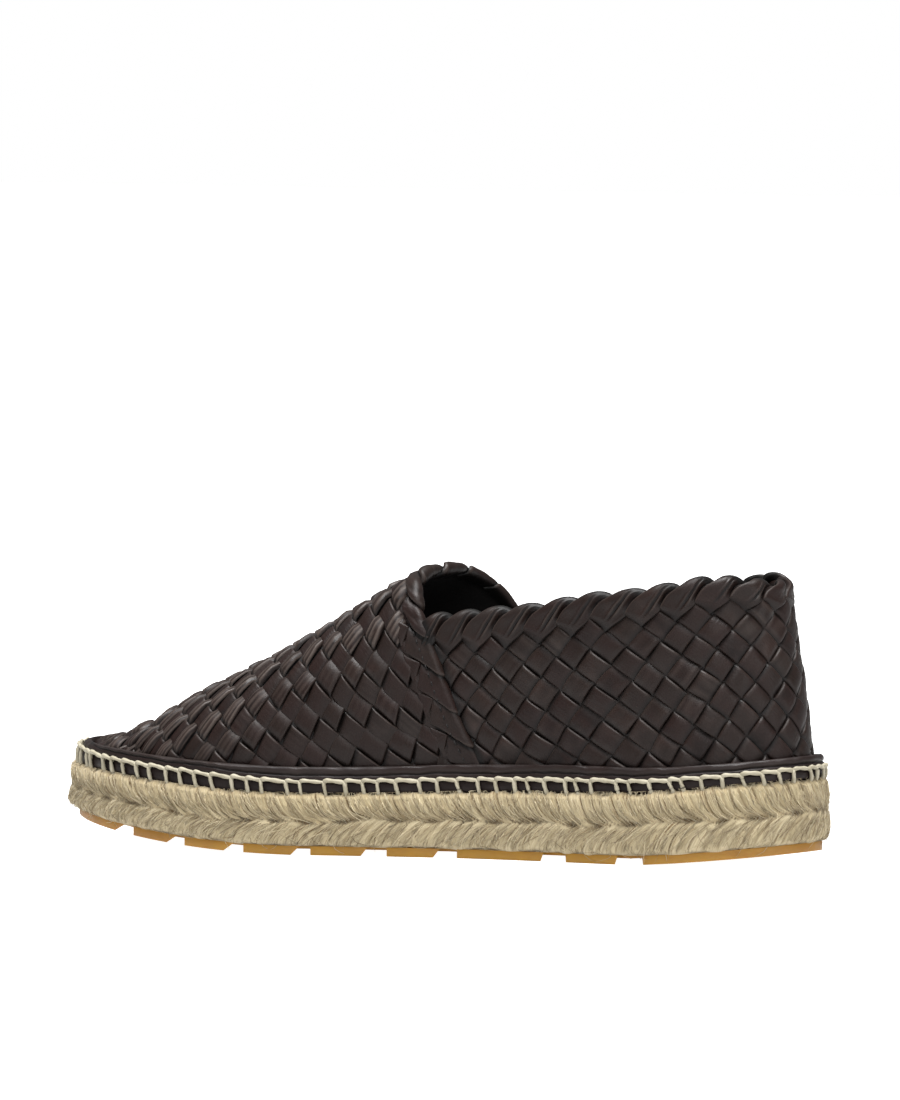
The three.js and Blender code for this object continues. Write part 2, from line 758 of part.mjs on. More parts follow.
// Materials
const leather = (color) => new THREE.MeshStandardMaterial({ color, roughness: 0.55, metalness: 0 });
const gum = new THREE.MeshStandardMaterial({ color: 0xc9963f, roughness: 0.6, metalness: 0 });
const jute = new THREE.MeshStandardMaterial({ color: 0xcdb48a, roughness: 0.95, metalness: 0 });
const footbed = new THREE.MeshStandardMaterial({ color: 0x2a2422, roughness: 0.8, metalness: 0 });

const espadrille = new THREE.Group();
espadrille.add(meshFrom('outsole', buildOutsole(), gum));
espadrille.add(meshFrom('midsole', buildMidsole(), jute));
espadrille.add(meshFrom('rand', buildRand(), leather(0x3a3230)));
espadrille.add(meshFrom('insole', buildInsole(), footbed));
espadrille.add(meshFrom('upper', buildUpper(), leather(0x4a403d)));

export default espadrille;
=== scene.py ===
"""Looks of a woven leather espadrille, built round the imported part.

Sizes are in millimetres until a mesh is made. +X points to the toe, +Y to the inner side of the
foot and +Z up, as in the part.
"""

import math

import bpy
import numpy as np
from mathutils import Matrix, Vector


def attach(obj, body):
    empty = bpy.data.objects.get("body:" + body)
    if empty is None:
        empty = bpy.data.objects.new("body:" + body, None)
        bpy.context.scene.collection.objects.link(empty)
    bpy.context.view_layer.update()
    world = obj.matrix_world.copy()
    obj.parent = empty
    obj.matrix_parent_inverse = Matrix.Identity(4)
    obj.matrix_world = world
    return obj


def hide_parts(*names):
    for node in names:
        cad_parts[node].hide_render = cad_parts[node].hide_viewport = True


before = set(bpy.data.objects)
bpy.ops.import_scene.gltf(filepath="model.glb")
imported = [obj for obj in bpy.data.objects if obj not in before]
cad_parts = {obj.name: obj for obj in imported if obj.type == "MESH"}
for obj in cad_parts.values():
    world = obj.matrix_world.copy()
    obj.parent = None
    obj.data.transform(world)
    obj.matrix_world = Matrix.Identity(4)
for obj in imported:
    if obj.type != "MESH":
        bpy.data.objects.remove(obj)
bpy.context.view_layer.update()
MM = 0.001

# Sole and last, as in the part
SOLE_LENGTH = 280.0
SEAM = 0.3
LUG_HEIGHT = 3.4
TOE_SPRING = 10.8
TOE_SPRING_START = 0.62
TOE_SPRING_BEND = 1.7
HEEL_RISE = 4.8
HEEL_RISE_END = 0.2
HEEL_RISE_BEND = 1.3
UPPER_INSET = 5.6
OUTER_COLLAR_DROP = 1.5
OUTER_COLLAR_REACH = 60.0
HEEL_LEAN = 11.2
HEEL_LEAN_REACH = 0.4
HEEL_LEAN_HEIGHT = 66.0
HEEL_LEAN_BEND = 1.3
HEEL_LEAN_MOST = 1.2
VAMP_STEP = 1.3
VAMP_STEP_FADE = 45.0
VAMP_STEP_FOOT = 0.3
VAMP_STEP_RISE = 9.0
THROAT_SKEW = 0.11
TOE_DROP = 0.9
TOE_DROP_FROM = 26.0
TOE_DROP_TO = 4.0
CREST_SHARES = (0.3, 0.992)
INSOLE_THICKNESS = 2.5

# Footbed from its foot over the rounded rim to the middle: inset, and drop under its top
FOOTBED_COLUMNS = 160
FOOTBED_INSET = 7.7
FOOTBED_STEPS = (0.0, 0.0, 0.25, 1.2, 12.0, 22.0)
FOOTBED_DROPS = (INSOLE_THICKNESS, 0.6, 0.15, 0.0, 0.0, 0.0)

# Cross sections from the heel (0) to the toe (1): place, half widths on the inner and outer side,
# tops of jute and rand, crest of the last, its shift to the inner side, squareness of the arch
SECTIONS = np.array([
    (0.00, 0.0, 0.0, 24.0, 31.8, 128.0, 0.0, 3.0),
    (0.03, 19.0, 19.0, 24.0, 31.8, 128.0, 0.0, 3.0),
    (0.08, 28.5, 28.5, 24.0, 31.8, 128.0, 0.0, 3.0),
    (0.15, 34.0, 34.0, 23.8, 31.7, 127.0, 0.0, 3.0),
    (0.25, 34.0, 36.5, 23.2, 31.4, 124.0, 0.0, 3.0),
    (0.35, 32.0, 39.5, 22.6, 30.8, 117.0, 1.0, 3.0),
    (0.45, 33.0, 42.5, 21.6, 30.0, 104.0, 2.0, 3.0),
    (0.50, 35.5, 44.0, 21.0, 29.3, 95.0, 3.0, 2.95),
    (0.55, 38.5, 45.5, 20.6, 28.8, 88.3, 3.5, 2.85),
    (0.65, 46.0, 48.0, 20.3, 28.4, 72.8, 3.5, 2.55),
    (0.72, 49.0, 49.0, 20.2, 28.3, 62.6, 3.5, 2.4),
    (0.80, 47.0, 47.0, 19.9, 28.2, 52.2, 3.0, 2.3),
    (0.88, 40.0, 38.5, 19.2, 27.4, 40.4, 2.0, 2.2),
    (0.94, 30.0, 27.0, 18.0, 25.8, 35.2, 1.0, 2.2),
    (0.98, 17.5, 15.0, 17.0, 24.2, 34.2, 0.5, 2.2),
    (1.00, 0.0, 0.0, 16.6, 23.6, 33.7, 0.0, 2.2),
])
AT, INNER, OUTER, JUTE, RAND, CREST, RIDGE, SQUARE = SECTIONS.T

# Collar height along the inner side, and the back edge of the vamp from the rand up
COLLAR_X = [-140, -118, -105, -85, -70, -47, -32, -6, 10]
COLLAR_Z = [93.0, 93.8, 91.6, 88.6, 87.2, 83.2, 81.4, 78.5, 77.5]
VAMP_EDGE_Z = [10, 30, 46, 68, 79, 87.6, 92, 97, 110]
VAMP_EDGE_X = [-35, -29, -21, -11.5, -6, -2, 0.3, 1.5, 2]

# Straps of the weave: heights in millimetres, and sizes as shares of half a strap
STRAP_RISE = 0.55
STRAP_DIVE = 1.5
STRAP_DIVE_FROM = 0.62
STRAP_DIVE_TO = 1.3
STRAP_EDGE_DROP = 1.1
STRAP_RIM_FLAT = 34
STRAP_RIM_PUFFED = 10
STRAP_DEPTH = 0.95
STRAP_CROWN = 0.24
STRAP_PUFF_CROWN = 0.45
STRAP_PUFF_RISE = 0.7
STRAP_PUFF_SINK = 0.3
STRAP_COVER = 0.955
STRAP_REACH = 1.22
STRAP_WIDTHS = (0.96, 1.02)
STRAP_UNEVEN = 0.12
STRAP_SLACK = 0.05
STRAP_TURN = 0.07
STRAP_TILT = 0.7
STRAP_TIPPING = (0.22, 0.15, 0.08)
STRAP_FOLDS = (2.8, 4.0)
STRAP_EASE = (0.15, 0.45)
STRAP_GATHER = (2.2, 1.3)
STRAP_LINES = 400
STRAP_FOOT = 7.0

# Weave of the quarter and the vamp: half pitches between crossings, and how the rows lean and draw together
QUARTER_COLUMN = 7.3
QUARTER_SHIFT = -0.75
QUARTER_EVEN = 12.0
QUARTER_CROWD = 0.14
QUARTER_TIP = 9.4
QUARTER_TIP_DROP = 0.13
QUARTER_ROW = 5.55
QUARTER_SAG = 0.04
QUARTER_LEAN = (0.5, 0.1)
QUARTER_COLUMNS = 34
QUARTER_ROWS = 12
QUARTER_GRID = (9, 8)
QUARTER_REACH = 175.0
QUARTER_PLEATS = 0.1
QUARTER_UNDER_VAMP = 9.0
VAMP_START = 16.5
VAMP_COLUMN = 4.5
VAMP_ROW = 6.55
VAMP_SHOULDER = 4.0
VAMP_RIDGE_BEND = 4.0
VAMP_RIDGE_DROP = 0.35
VAMP_SPREAD = 0.18
VAMP_LEAN = (1.16, 0.17)
VAMP_NARROWING = 0.1
VAMP_WIDENING = 0.06
VAMP_SWEEP = (2.7, -0.2, 0.056)
VAMP_COLUMNS = (-16, 36)
VAMP_ROWS = (-30, 18)
VAMP_GRID = (16, 7)
VAMP_PLEATS = 0.6
VAMP_CREASES = 0.05
VAMP_PAST_EDGE = 7.0
VAMP_PAST_TOE = 6.0
VAMP_SHADE_REACH = (1.0, 4.6)

# Where straps of the vamp puff up: across and along its top, and across and along the toe
PUFF_TOP_SIDE = (26, 46)
PUFF_TOP_START = (-20, 0)
PUFF_TOE_SIDE = (40, 58)
PUFF_TOE_START = (45, 75)

# Lining, collar and back edge of the vamp
LINING_DEPTH = 1.1
LINING_THICKNESS = 0.6
LINING_STEP = 2.5
LINING_FOOT = 60.0
LINING_REACH = 118.0
LINING_COLUMNS = 121
LINING_BACK_ROWS = 28
LINING_FRONT_ROWS = 60
COLLAR_ROLL = 2.0
COLLAR_ROLL_TOP = 1.2
COLLAR_STAND = 0.3
COLLAR_STRAND_LIFT = (1.25, 1.95)
COLLAR_STRAND_HEIGHT = 11.0
COLLAR_GRID = (40, 26)
COLLAR_UNDER_VAMP = 5.0
CORE_REACH = (4.0, -10.0)
CORE_ROWS = 20
CORE_DEPTH = 0.55
CORE_UNDER_VAMP = 2.0
HEEL_TOP_DROP = 1.5
HEEL_TOP_REACH = (4, 50)
EDGE_ROLL = 1.2
EDGE_REACH = 110.0
EDGE_FOOT = 6.0
EDGE_LAP = 3.0
EDGE_UNCOVERED = 3.5
EDGE_TURN_UNDER = 4.4
EDGE_GRID = (16, 30)
EDGE_STRAND_PITCH = 14.6
EDGE_BAND = 9.8
EDGE_NECK = 5.4
EDGE_THROAT = (16.0, 34.0)
EDGE_STITCH_PLACE = 4.0
EDGE_STITCH_PITCH = 3.4
EDGE_STITCH_LENGTH = 1.9
EDGE_STITCH_RADIUS = 0.22
EDGE_STITCH_RINGS = 6
EDGE_STITCH_SIDES = 6
FOLD_GRID = (12, 14)
FOLD_LENGTH = 5.4

# Rand, blanket stitch, jute and gum
RAND_COLUMNS = 480
RAND_FACE_ROWS = 40
RAND_RAISE = 0.9
TOE_RAND_LEAN = 3.2
TOE_RAND_RAISE = 0.6
STITCH_COUNT = 98
STITCH_RINGS = 34
STITCH_SIDES = 10
THREAD_RADIUS = 0.66
BRAID_COLUMNS = 2160
BRAID_ROWS = 40
PLAIT_LENGTH = 13.3
JUTE_OVERHANG = 0.7
FIBRE_COUNT = 7600
FIBRE_RINGS = 5
FIBRE_SIDES = 3
FIBRE_RADIUS = (0.05, 0.15)
FIBRE_FLOOR = 0.3
GUM_BEVEL = 0.35

# Camera: degrees from the side towards the heel and from the floor, and the photograph's scale
CAMERA_TURN = 28.0
CAMERA_RISE = 3.0
CAMERA_DISTANCE = 6.0
IMAGE_WIDTH_PX = 900
IMAGE_HEIGHT_PX = 1100
PIXELS_PER_MM = 3.0
ORIGIN_PX = (448.7, 851.0)
SENSOR_MM = 36.0

# Studio, in metres: floor and sun, and name, place, target, size and power of each area light
FLOOR_SIZE = 12
FLOOR_GLOW = 0.52
STUDIO_FILL = 0.28
SUN_TOWARDS = (0.05, -0.12, -1.0)
SUN_SPREAD = 40
SUN_STRENGTH = 7.6
AREA_LIGHTS = (
    ("front", (-0.6, 1.4, 0.8), (0, 0, 0.05), (0.9, 0.5), 6.5),
    ("heel", (-1.3, 0.5, 0.3), (-0.1, 0, 0.03), (0.5, 0.5), 3),
)


# Small maths
def smooth_step(value, low, high):
    t = np.clip((value - low) / (high - low), 0, 1)
    return t * t * (3 - 2 * t)


def bell(value, middle, width):
    return np.exp(-((value - middle) / width) ** 2)


def largest(*values):
    """The largest of several arrays at each point."""
    return np.maximum.reduce(np.broadcast_arrays(*values))


def stacked(*values):
    """Arrays side by side as the last axis of one array."""
    return np.stack(np.broadcast_arrays(*values), axis=-1)


def either_way(rng, most, count):
    """A column of random values up to a limit on both sides of zero."""
    return rng.uniform(-most, most, (count, 1))


def unit(vectors):
    return vectors / np.maximum(np.linalg.norm(vectors, axis=-1, keepdims=True), 1e-9)


def running_length(points):
    steps = np.linalg.norm(np.diff(points, axis=0), axis=1)
    return np.concatenate([[0.0], np.cumsum(steps)])


def curve_through(x, y):
    """Smooth curve through points with rising x."""
    x, y = np.array(x, float), np.array(y, float)
    width = np.diff(x)
    chord = np.diff(y) / width
    middle = (chord[:-1] * width[1:] + chord[1:] * width[:-1]) / (width[:-1] + width[1:])
    slope = np.concatenate([chord[:1], middle, chord[-1:]])

    def value_at(place):
        n = np.clip(np.searchsorted(x, place) - 1, 0, len(width) - 1)
        t = np.clip((place - x[n]) / width[n], 0, 1)
        rest = 1 - t
        ends = y[n] * (1 + 2 * t) * rest * rest + y[n + 1] * (3 - 2 * t) * t * t
        return ends + width[n] * t * rest * (slope[n] * rest - slope[n + 1] * t)

    return value_at


# Outline of the sole
def half_width(values):
    turn = np.arccos(1 - 2 * AT)
    x = np.concatenate([[-turn[1]], turn, [2 * math.pi - turn[-2]]])
    y = np.concatenate([[-values[1]], values, [-values[-2]]])
    return curve_through(x, y)


def sample_rim(values, sign, samples=400, nudge=1e-3):
    turn = np.linspace(0, math.pi, samples + 1)
    width = half_width(values)
    points = np.stack([-SOLE_LENGTH / 2 * np.cos(turn), sign * width(turn)], axis=1)
    along_x = SOLE_LENGTH / 2 * np.sin(turn)
    along_y = (width(turn + nudge) - width(turn - nudge)) / (2 * nudge)
    outward = unit(np.stack([-along_y, sign * along_x], axis=1))
    return {"run": running_length(points), "points": points, "outward": outward}


RIMS = {"inner": sample_rim(INNER, 1), "outer": sample_rim(OUTER, -1)}
RING_LENGTH = RIMS["inner"]["run"][-1] + RIMS["outer"]["run"][-1]


def wander(rng, way, knots):
    """Smooth random curve between -1 and 1, closed round the sole and read at places along it."""
    values = rng.uniform(-1, 1, knots)
    values = np.concatenate([values, values[:1]])
    return curve_through(np.linspace(0, RING_LENGTH, knots + 1), values)(np.mod(way, RING_LENGTH))


def rim_point(side, share, inset):
    """Point of the outline by its share of the way from heel to toe, moved inward."""
    rim = RIMS[side]
    run = np.clip(share, 0, 1) * rim["run"][-1]
    axes = []
    for axis in (0, 1):
        place = np.interp(run, rim["run"], rim["points"][:, axis])
        outward = np.interp(run, rim["run"], rim["outward"][:, axis])
        axes.append(place - outward * inset)
    return np.stack(axes)


def ring_point(turn, inset):
    """Point of the closed outline, which starts at the heel and takes the inner side first."""
    turn = np.mod(turn, 1.0)
    inner = rim_point("inner", 2 * turn, inset)
    outer = rim_point("outer", 2 - 2 * turn, inset)
    return np.where(turn <= 0.5, inner, outer)


# Heights along the shoe
def share_of(x):
    return np.clip(x / SOLE_LENGTH + 0.5, 0, 1)


jute_top = curve_through(AT, JUTE)
rand_top = curve_through(AT, RAND)
crest_top = curve_through(AT, CREST)
ridge_side = curve_through(AT, RIDGE)
squareness = curve_through(AT, SQUARE)
collar_height = curve_through(COLLAR_X, COLLAR_Z)
vamp_edge_x = curve_through(VAMP_EDGE_Z, VAMP_EDGE_X)


def spring(x):
    toe = np.clip((share_of(x) - TOE_SPRING_START) / (1 - TOE_SPRING_START), 0, 1)
    heel = np.clip((HEEL_RISE_END - share_of(x)) / HEEL_RISE_END, 0, 1)
    return TOE_SPRING * toe ** TOE_SPRING_BEND + HEEL_RISE * heel ** HEEL_RISE_BEND


def jute_foot(x):
    return LUG_HEIGHT + SEAM + spring(x)


def sole_top(x):
    return jute_top(share_of(x)) + spring(x)


def seat_top(x):
    return sole_top(x) + SEAM


def rand_edge(x):
    return rand_top(share_of(x)) + spring(x)


# The last: each section is an arch from the inner rim over the ridge to the outer rim
def last_section(share):
    inner = rim_point("inner", share, UPPER_INSET)
    outer = rim_point("outer", share, UPPER_INSET)
    x = (inner[0] + outer[0]) / 2
    at = share_of(x)
    foot = seat_top(x)
    height = crest_top(at) - foot
    return {"inner": inner, "outer": outer, "x": x, "at": at, "ridge": ridge_side(at),
            "foot": foot, "height": height, "square": squareness(at)}


def arch_point(section, inner_side, share):
    up = np.clip(share, 0, 1)
    wide = (1 - up ** section["square"]) ** (1 / section["square"])
    rim = np.where(inner_side, section["inner"], section["outer"])
    rise = section["height"] * share
    lean = HEEL_LEAN * np.clip(1 - section["at"] / HEEL_LEAN_REACH, 0, 1) ** 2
    tilt = lean * np.clip(rise / HEEL_LEAN_HEIGHT, 0, HEEL_LEAN_MOST) ** HEEL_LEAN_BEND
    x = section["x"] + (rim[0] - section["x"]) * wide + tilt
    y = section["ridge"] + (rim[1] - section["ridge"]) * wide
    return stacked(x, y, section["foot"] + rise)


def quarter_point(along, down):
    """Along is the way round from the middle of the heel, plus on the inner side."""
    inner_side = along >= 0
    length = np.where(inner_side, RIMS["inner"]["run"][-1], RIMS["outer"]["run"][-1])
    section = last_section(np.abs(along) / length)
    rim_x = np.where(inner_side, section["inner"][0], section["outer"][0])
    drop = np.where(inner_side, 0, OUTER_COLLAR_DROP * smooth_step(-along, 0, OUTER_COLLAR_REACH))
    height = collar_height(rim_x) - drop - down
    return arch_point(section, inner_side, (height - section["foot"]) / section["height"])


crest_shares = np.linspace(*CREST_SHARES, 161)
crest_line = arch_point(last_section(crest_shares), True, 1.0)
crest_run = running_length(crest_line)
crest_along = crest_run - crest_run[np.argmax(crest_line[:, 0] >= VAMP_EDGE_X[-2])]


def vamp_points(along, across):
    """Along is the way down the crest from the throat, across the way round from the crest."""
    rows = []
    angle = np.linspace(math.pi / 2, 0, 49)
    for way in along[:, 0]:
        section = last_section(np.interp(way, crest_along, crest_shares))
        row = np.empty((across.shape[1], 3))
        for inner_side in (True, False):
            chosen = (across[0] >= 0) == inner_side
            marks = arch_point(section, inner_side, np.sin(angle) ** (2 / section["square"]))
            run = running_length(marks)
            reach = np.abs(across[0][chosen])
            for axis in range(3):
                row[chosen, axis] = np.interp(reach, run, marks[:, axis])
            row[chosen, 2] -= np.maximum(0, reach - run[-1])
        row[:, 2] -= max(0.0, way - crest_along[-1])
        rows.append(row)
    return np.array(rows)


class Surface:
    """A smooth surface kept as a fine grid of points and outward normals."""

    def __init__(self, point, u_ends, v_ends, step=1.0):
        self.low = np.array([u_ends[0], v_ends[0]])
        self.step = step
        u = np.arange(u_ends[0], u_ends[1] + step, step)
        v = np.arange(v_ends[0], v_ends[1] + step, step)
        grid = point(*np.meshgrid(u, v, indexing="ij"))
        normal = unit(np.cross(np.gradient(grid, axis=0), np.gradient(grid, axis=1)))
        self.u, self.v = u, v
        self.table = np.concatenate([grid, normal], axis=2)

    def read(self, u, v):
        u, v = np.broadcast_arrays(u, v)
        most = np.array(self.table.shape[:2]) - 1.001
        a = np.clip((u - self.low[0]) / self.step, 0, most[0])
        b = np.clip((v - self.low[1]) / self.step, 0, most[1])
        i, j = a.astype(int), b.astype(int)
        s, t = (a - i)[..., None], (b - j)[..., None]
        near = self.table[i, j] * (1 - t) + self.table[i, j + 1] * t
        far = self.table[i + 1, j] * (1 - t) + self.table[i + 1, j + 1] * t
        mixed = near * (1 - s) + far * s
        return mixed[..., :3], unit(mixed[..., 3:])

    def at(self, u, v, out):
        point, normal = self.read(u, v)
        return point + normal * np.asarray(out)[..., None]


quarter = Surface(quarter_point, (-182.0, 182.0), (-12.0, 90.0))
vamp = Surface(vamp_points, (-72.0, crest_along[-1] + 8.0), (-150.0, 150.0))


def past_edge(points):
    """How far points lie ahead of the vamp's back edge."""
    x, y, z = np.moveaxis(points, -1, 0)
    return x - vamp_edge_x(z) - THROAT_SKEW * y


def find_vamp_edge():
    """Place along the vamp where its back edge lies, for each way round from the crest."""
    ahead = past_edge(vamp.table[..., :3])
    first = np.argmax(ahead >= 0, axis=0).clip(1)
    row = np.arange(len(vamp.v))
    before, after = ahead[first - 1, row], ahead[first, row]
    return vamp.u[first - 1] + vamp.step * np.clip(before / (before - after), 0, 1)


vamp_edge_along = find_vamp_edge()


def edge_along(across):
    return np.interp(across, vamp.v, vamp_edge_along)


def toe_drop(along):
    """How far the vamp lies lower where it runs under the rand at the toe."""
    toe = crest_along[-1]
    return TOE_DROP * smooth_step(along, toe - TOE_DROP_FROM, toe - TOE_DROP_TO)


def vamp_lift(along, across):
    """How far the vamp stands out over the quarter."""
    point, _ = vamp.read(along, across)
    clear = smooth_step(point[..., 2] - rand_edge(point[..., 0]), 0, VAMP_STEP_RISE)
    near = 1 - smooth_step(along, 0, VAMP_STEP_FADE)
    return VAMP_STEP_FOOT + (VAMP_STEP - VAMP_STEP_FOOT) * clear * near


# Meshes
def link(item):
    """Puts a new object into the scene."""
    bpy.context.scene.collection.objects.link(item)
    return item


def deselect_all():
    bpy.ops.object.select_all(action="DESELECT")


def make_active(piece):
    deselect_all()
    piece.select_set(True)
    bpy.context.view_layer.objects.active = piece


def edit_all(piece, *steps):
    """Runs edit-mode steps on a whole mesh."""
    make_active(piece)
    bpy.ops.object.mode_set(mode="EDIT")
    bpy.ops.mesh.select_all(action="SELECT")
    for step in steps:
        step()
    bpy.ops.object.mode_set(mode="OBJECT")


def apply_modifier(piece, kind, **values):
    make_active(piece)
    modifier = piece.modifiers.new(kind.lower(), kind)
    for key, value in values.items():
        setattr(modifier, key, value)
    bpy.ops.object.modifier_apply(modifier=modifier.name)


def close_ends(piece):
    """Closes the open top and underside of a ring."""
    make_active(piece)
    bpy.ops.object.mode_set(mode="EDIT")
    bpy.ops.mesh.select_all(action="DESELECT")
    bpy.ops.mesh.select_non_manifold()
    bpy.ops.mesh.edge_face_add()
    bpy.ops.object.mode_set(mode="OBJECT")


def add_piece(name, points, faces, material, slot, stands_for=(), uv=None, **attributes):
    """Makes one mesh piece of the shoe from points in millimetres."""
    points = np.asarray(points).reshape(-1, 3)
    mesh = bpy.data.meshes.new(name)
    mesh.from_pydata((points * MM).tolist(), [], [list(face) for face in faces])
    mesh.polygons.foreach_set("use_smooth", np.ones(len(mesh.polygons), bool))
    for key, values in attributes.items():
        layer = mesh.attributes.new(key, "FLOAT", "POINT")
        layer.data.foreach_set("value", np.resize(np.asarray(values, np.float32), len(points)))
    if uv is not None:
        layer = mesh.uv_layers.new(name="lay")
        corner = np.empty(len(mesh.loops), int)
        mesh.loops.foreach_get("vertex_index", corner)
        layer.data.foreach_set("uv", np.asarray(uv, np.float32).reshape(-1, 2)[corner].ravel())
    piece = link(bpy.data.objects.new(name, mesh))
    mesh.materials.append(material)
    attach(piece, "root")
    for node in stands_for:
        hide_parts(node)
    return piece


def grid_patch(columns, rows, gather):
    """Flat grid two units wide, closer at its rims: coordinates across and along, and faces."""
    deselect_all()
    bpy.ops.mesh.primitive_grid_add(x_subdivisions=columns, y_subdivisions=rows, size=2)
    patch = bpy.context.object
    mesh = patch.data
    points = np.array([vertex.co for vertex in mesh.vertices])
    faces = np.array([list(face.vertices) for face in mesh.polygons])
    bpy.data.objects.remove(patch)
    bpy.data.meshes.remove(mesh)
    across, along = points.T[:2]
    rest_across, rest_along = (np.clip(1 - np.abs(row), 0, 1) for row in (across, along))
    across = np.sign(across) * (1 - rest_across ** gather[0])
    along = np.sign(along) * (1 - rest_along ** gather[1])
    return across, along, faces


def copies_of(faces, points_each, count):
    """The faces of one patch, repeated for every copy of its points."""
    return (faces[None] + np.arange(count)[:, None, None] * points_each).reshape(-1, faces.shape[1])


def loop_faces(columns, rows, closed, closed_rows=False):
    """Faces between rows of points that stand side by side, closed or open each way."""
    k = np.arange(columns if closed else columns - 1)
    r = np.arange(rows if closed_rows else rows - 1)
    k, r = np.meshgrid(k, r, indexing="ij")
    beside, above = (k + 1) % columns, (r + 1) % rows
    corners = [k * rows + r, beside * rows + r, beside * rows + above, k * rows + above]
    return np.stack([corner.ravel() for corner in corners], axis=1)


def tube_points(paths, radius, sides, ply=0.0, twist=0.0):
    """Round tubes along many paths of equal length; a ply above zero makes a two-ply thread."""
    tangent = unit(np.gradient(paths, axis=1))
    askew = np.array([0.31, 0.22, 0.92])
    aside = unit(np.cross(tangent, askew))
    above = np.cross(aside, tangent)
    angle = np.linspace(0, 2 * math.pi, sides, endpoint=False)
    run = np.linalg.norm(np.diff(paths, axis=1), axis=2).cumsum(axis=1)
    run = np.concatenate([np.zeros((len(paths), 1)), run], axis=1)
    lobes = 1 + ply * np.cos(2 * angle - twist * run[..., None])
    reach = (np.asarray(radius)[..., None] * lobes)[..., None]
    spokes = np.cos(angle)[:, None] * aside[:, :, None] + np.sin(angle)[:, None] * above[:, :, None]
    return paths[:, :, None] + reach * spokes


def tube_faces(tubes, rings, sides):
    ring, side = np.meshgrid(np.arange(rings - 1), np.arange(sides), indexing="ij")
    beside = (side + 1) % sides
    corners = [ring * sides + side, ring * sides + beside,
               (ring + 1) * sides + beside, (ring + 1) * sides + side]
    walls = np.stack([corner.ravel() for corner in corners], axis=1)
    ends = [list(range(sides))[::-1], list(range((rings - 1) * sides, rings * sides))]
    faces = copies_of(walls, rings * sides, tubes).tolist()
    for tube in range(tubes):
        faces += [[corner + tube * rings * sides for corner in end] for end in ends]
    return faces


# Materials
def new_group(name, inputs, outputs):
    group = bpy.data.node_groups.new(name, "ShaderNodeTree")
    for label, kind, default in inputs:
        socket = group.interface.new_socket(label, in_out="INPUT", socket_type=kind)
        socket.default_value = default
    for label, kind in outputs:
        group.interface.new_socket(label, in_out="OUTPUT", socket_type=kind)
    start = group.nodes.new("NodeGroupInput")
    end = group.nodes.new("NodeGroupOutput")
    return group, start.outputs, end.inputs


def fill(tree, node, values):
    """Links the inputs of a node to other sockets, or sets them to constants."""
    for key, value in values.items():
        if isinstance(value, bpy.types.NodeSocket):
            tree.links.new(value, node.inputs[key])
        else:
            node.inputs[key].default_value = value


def add_node(tree, kind, values=(), **settings):
    node = tree.nodes.new("ShaderNode" + kind)
    for key, value in settings.items():
        setattr(node, key, value)
    fill(tree, node, dict(values))
    return node


def attribute(tree, name):
    return add_node(tree, "Attribute", attribute_name=name).outputs["Fac"]


def noise(tree, place, scale, detail, **more):
    values = {"Vector": place, "Scale": scale, "Detail": detail}
    return add_node(tree, "TexNoise", {**values, **more}).outputs[0]


def drawn_out(tree, lay, across, along):
    """Texture coordinates scaled apart across and along a strap or strand."""
    values = {0: lay, 1: (across, along, 0.0)}
    return add_node(tree, "VectorMath", values, operation="MULTIPLY").outputs[0]


def calculate(tree, operation, first, second):
    return add_node(tree, "Math", {0: first, 1: second}, operation=operation).outputs[0]


def weigh(tree, first, first_weight, second, second_weight):
    """Weighted sum of two values."""
    first = calculate(tree, "MULTIPLY", first, first_weight)
    second = calculate(tree, "MULTIPLY", second, second_weight)
    return calculate(tree, "ADD", first, second)


def remap(tree, value, low, high, to_low, to_high):
    values = {"Value": value, "From Min": low, "From Max": high, "To Min": to_low, "To Max": to_high}
    return add_node(tree, "MapRange", values).outputs[0]


def mix_colors(tree, share, first, second):
    return add_node(tree, "Mix", {0: share, 6: first, 7: second}, data_type="RGBA").outputs[2]


def bump(tree, height, strength, distance):
    values = {"Height": height, "Strength": strength, "Distance": distance}
    return add_node(tree, "Bump", values).outputs[0]


def color_ramp(tree, value, colors):
    """Evenly spaced colours along a value from 0 to 1."""
    node = add_node(tree, "ValToRGB", {"Fac": value})
    stops = node.color_ramp.elements
    while len(stops) < len(colors):
        stops.new(0.5)
    for n, color in enumerate(colors):
        stops[n].position = n / (len(colors) - 1)
        stops[n].color = color
    return node.outputs["Color"]


def leather_grain_group():
    """Pores and fine creases of leather, with broad satin patches."""
    places = [(label, "NodeSocketVector", (0, 0, 0)) for label in ("Vector", "Lay")]
    values = [(label, "NodeSocketFloat") for label in ("Height", "Patches")]
    group, given, made = new_group("leather grain", places, values)
    place = given["Vector"]
    pores = add_node(group, "TexVoronoi", {"Vector": place, "Scale": 1500.0}).outputs["Distance"]
    skin = noise(group, place, 900.0, 3.0)
    patches = noise(group, place, 140.0, 2.0)
    creases = noise(group, drawn_out(group, given["Lay"], 0.22, 1.1), 1.0, 4.0)
    grain = calculate(group, "ADD", calculate(group, "MULTIPLY", pores, 0.5), skin)
    folds = remap(group, creases, 0.35, 0.65, 0.0, 1.0)
    group.links.new(calculate(group, "ADD", grain, folds), made["Height"])
    group.links.new(remap(group, patches, 0.35, 0.68, 0.0, 1.0), made["Patches"])
    return group


LEATHER_GRAIN = leather_grain_group()
GRAIN_DEPTH = 0.12 * MM


def new_material(name):
    material = bpy.data.materials.new(name)
    material.use_nodes = True
    tree = material.node_tree
    return material, tree, tree.nodes["Principled BSDF"]


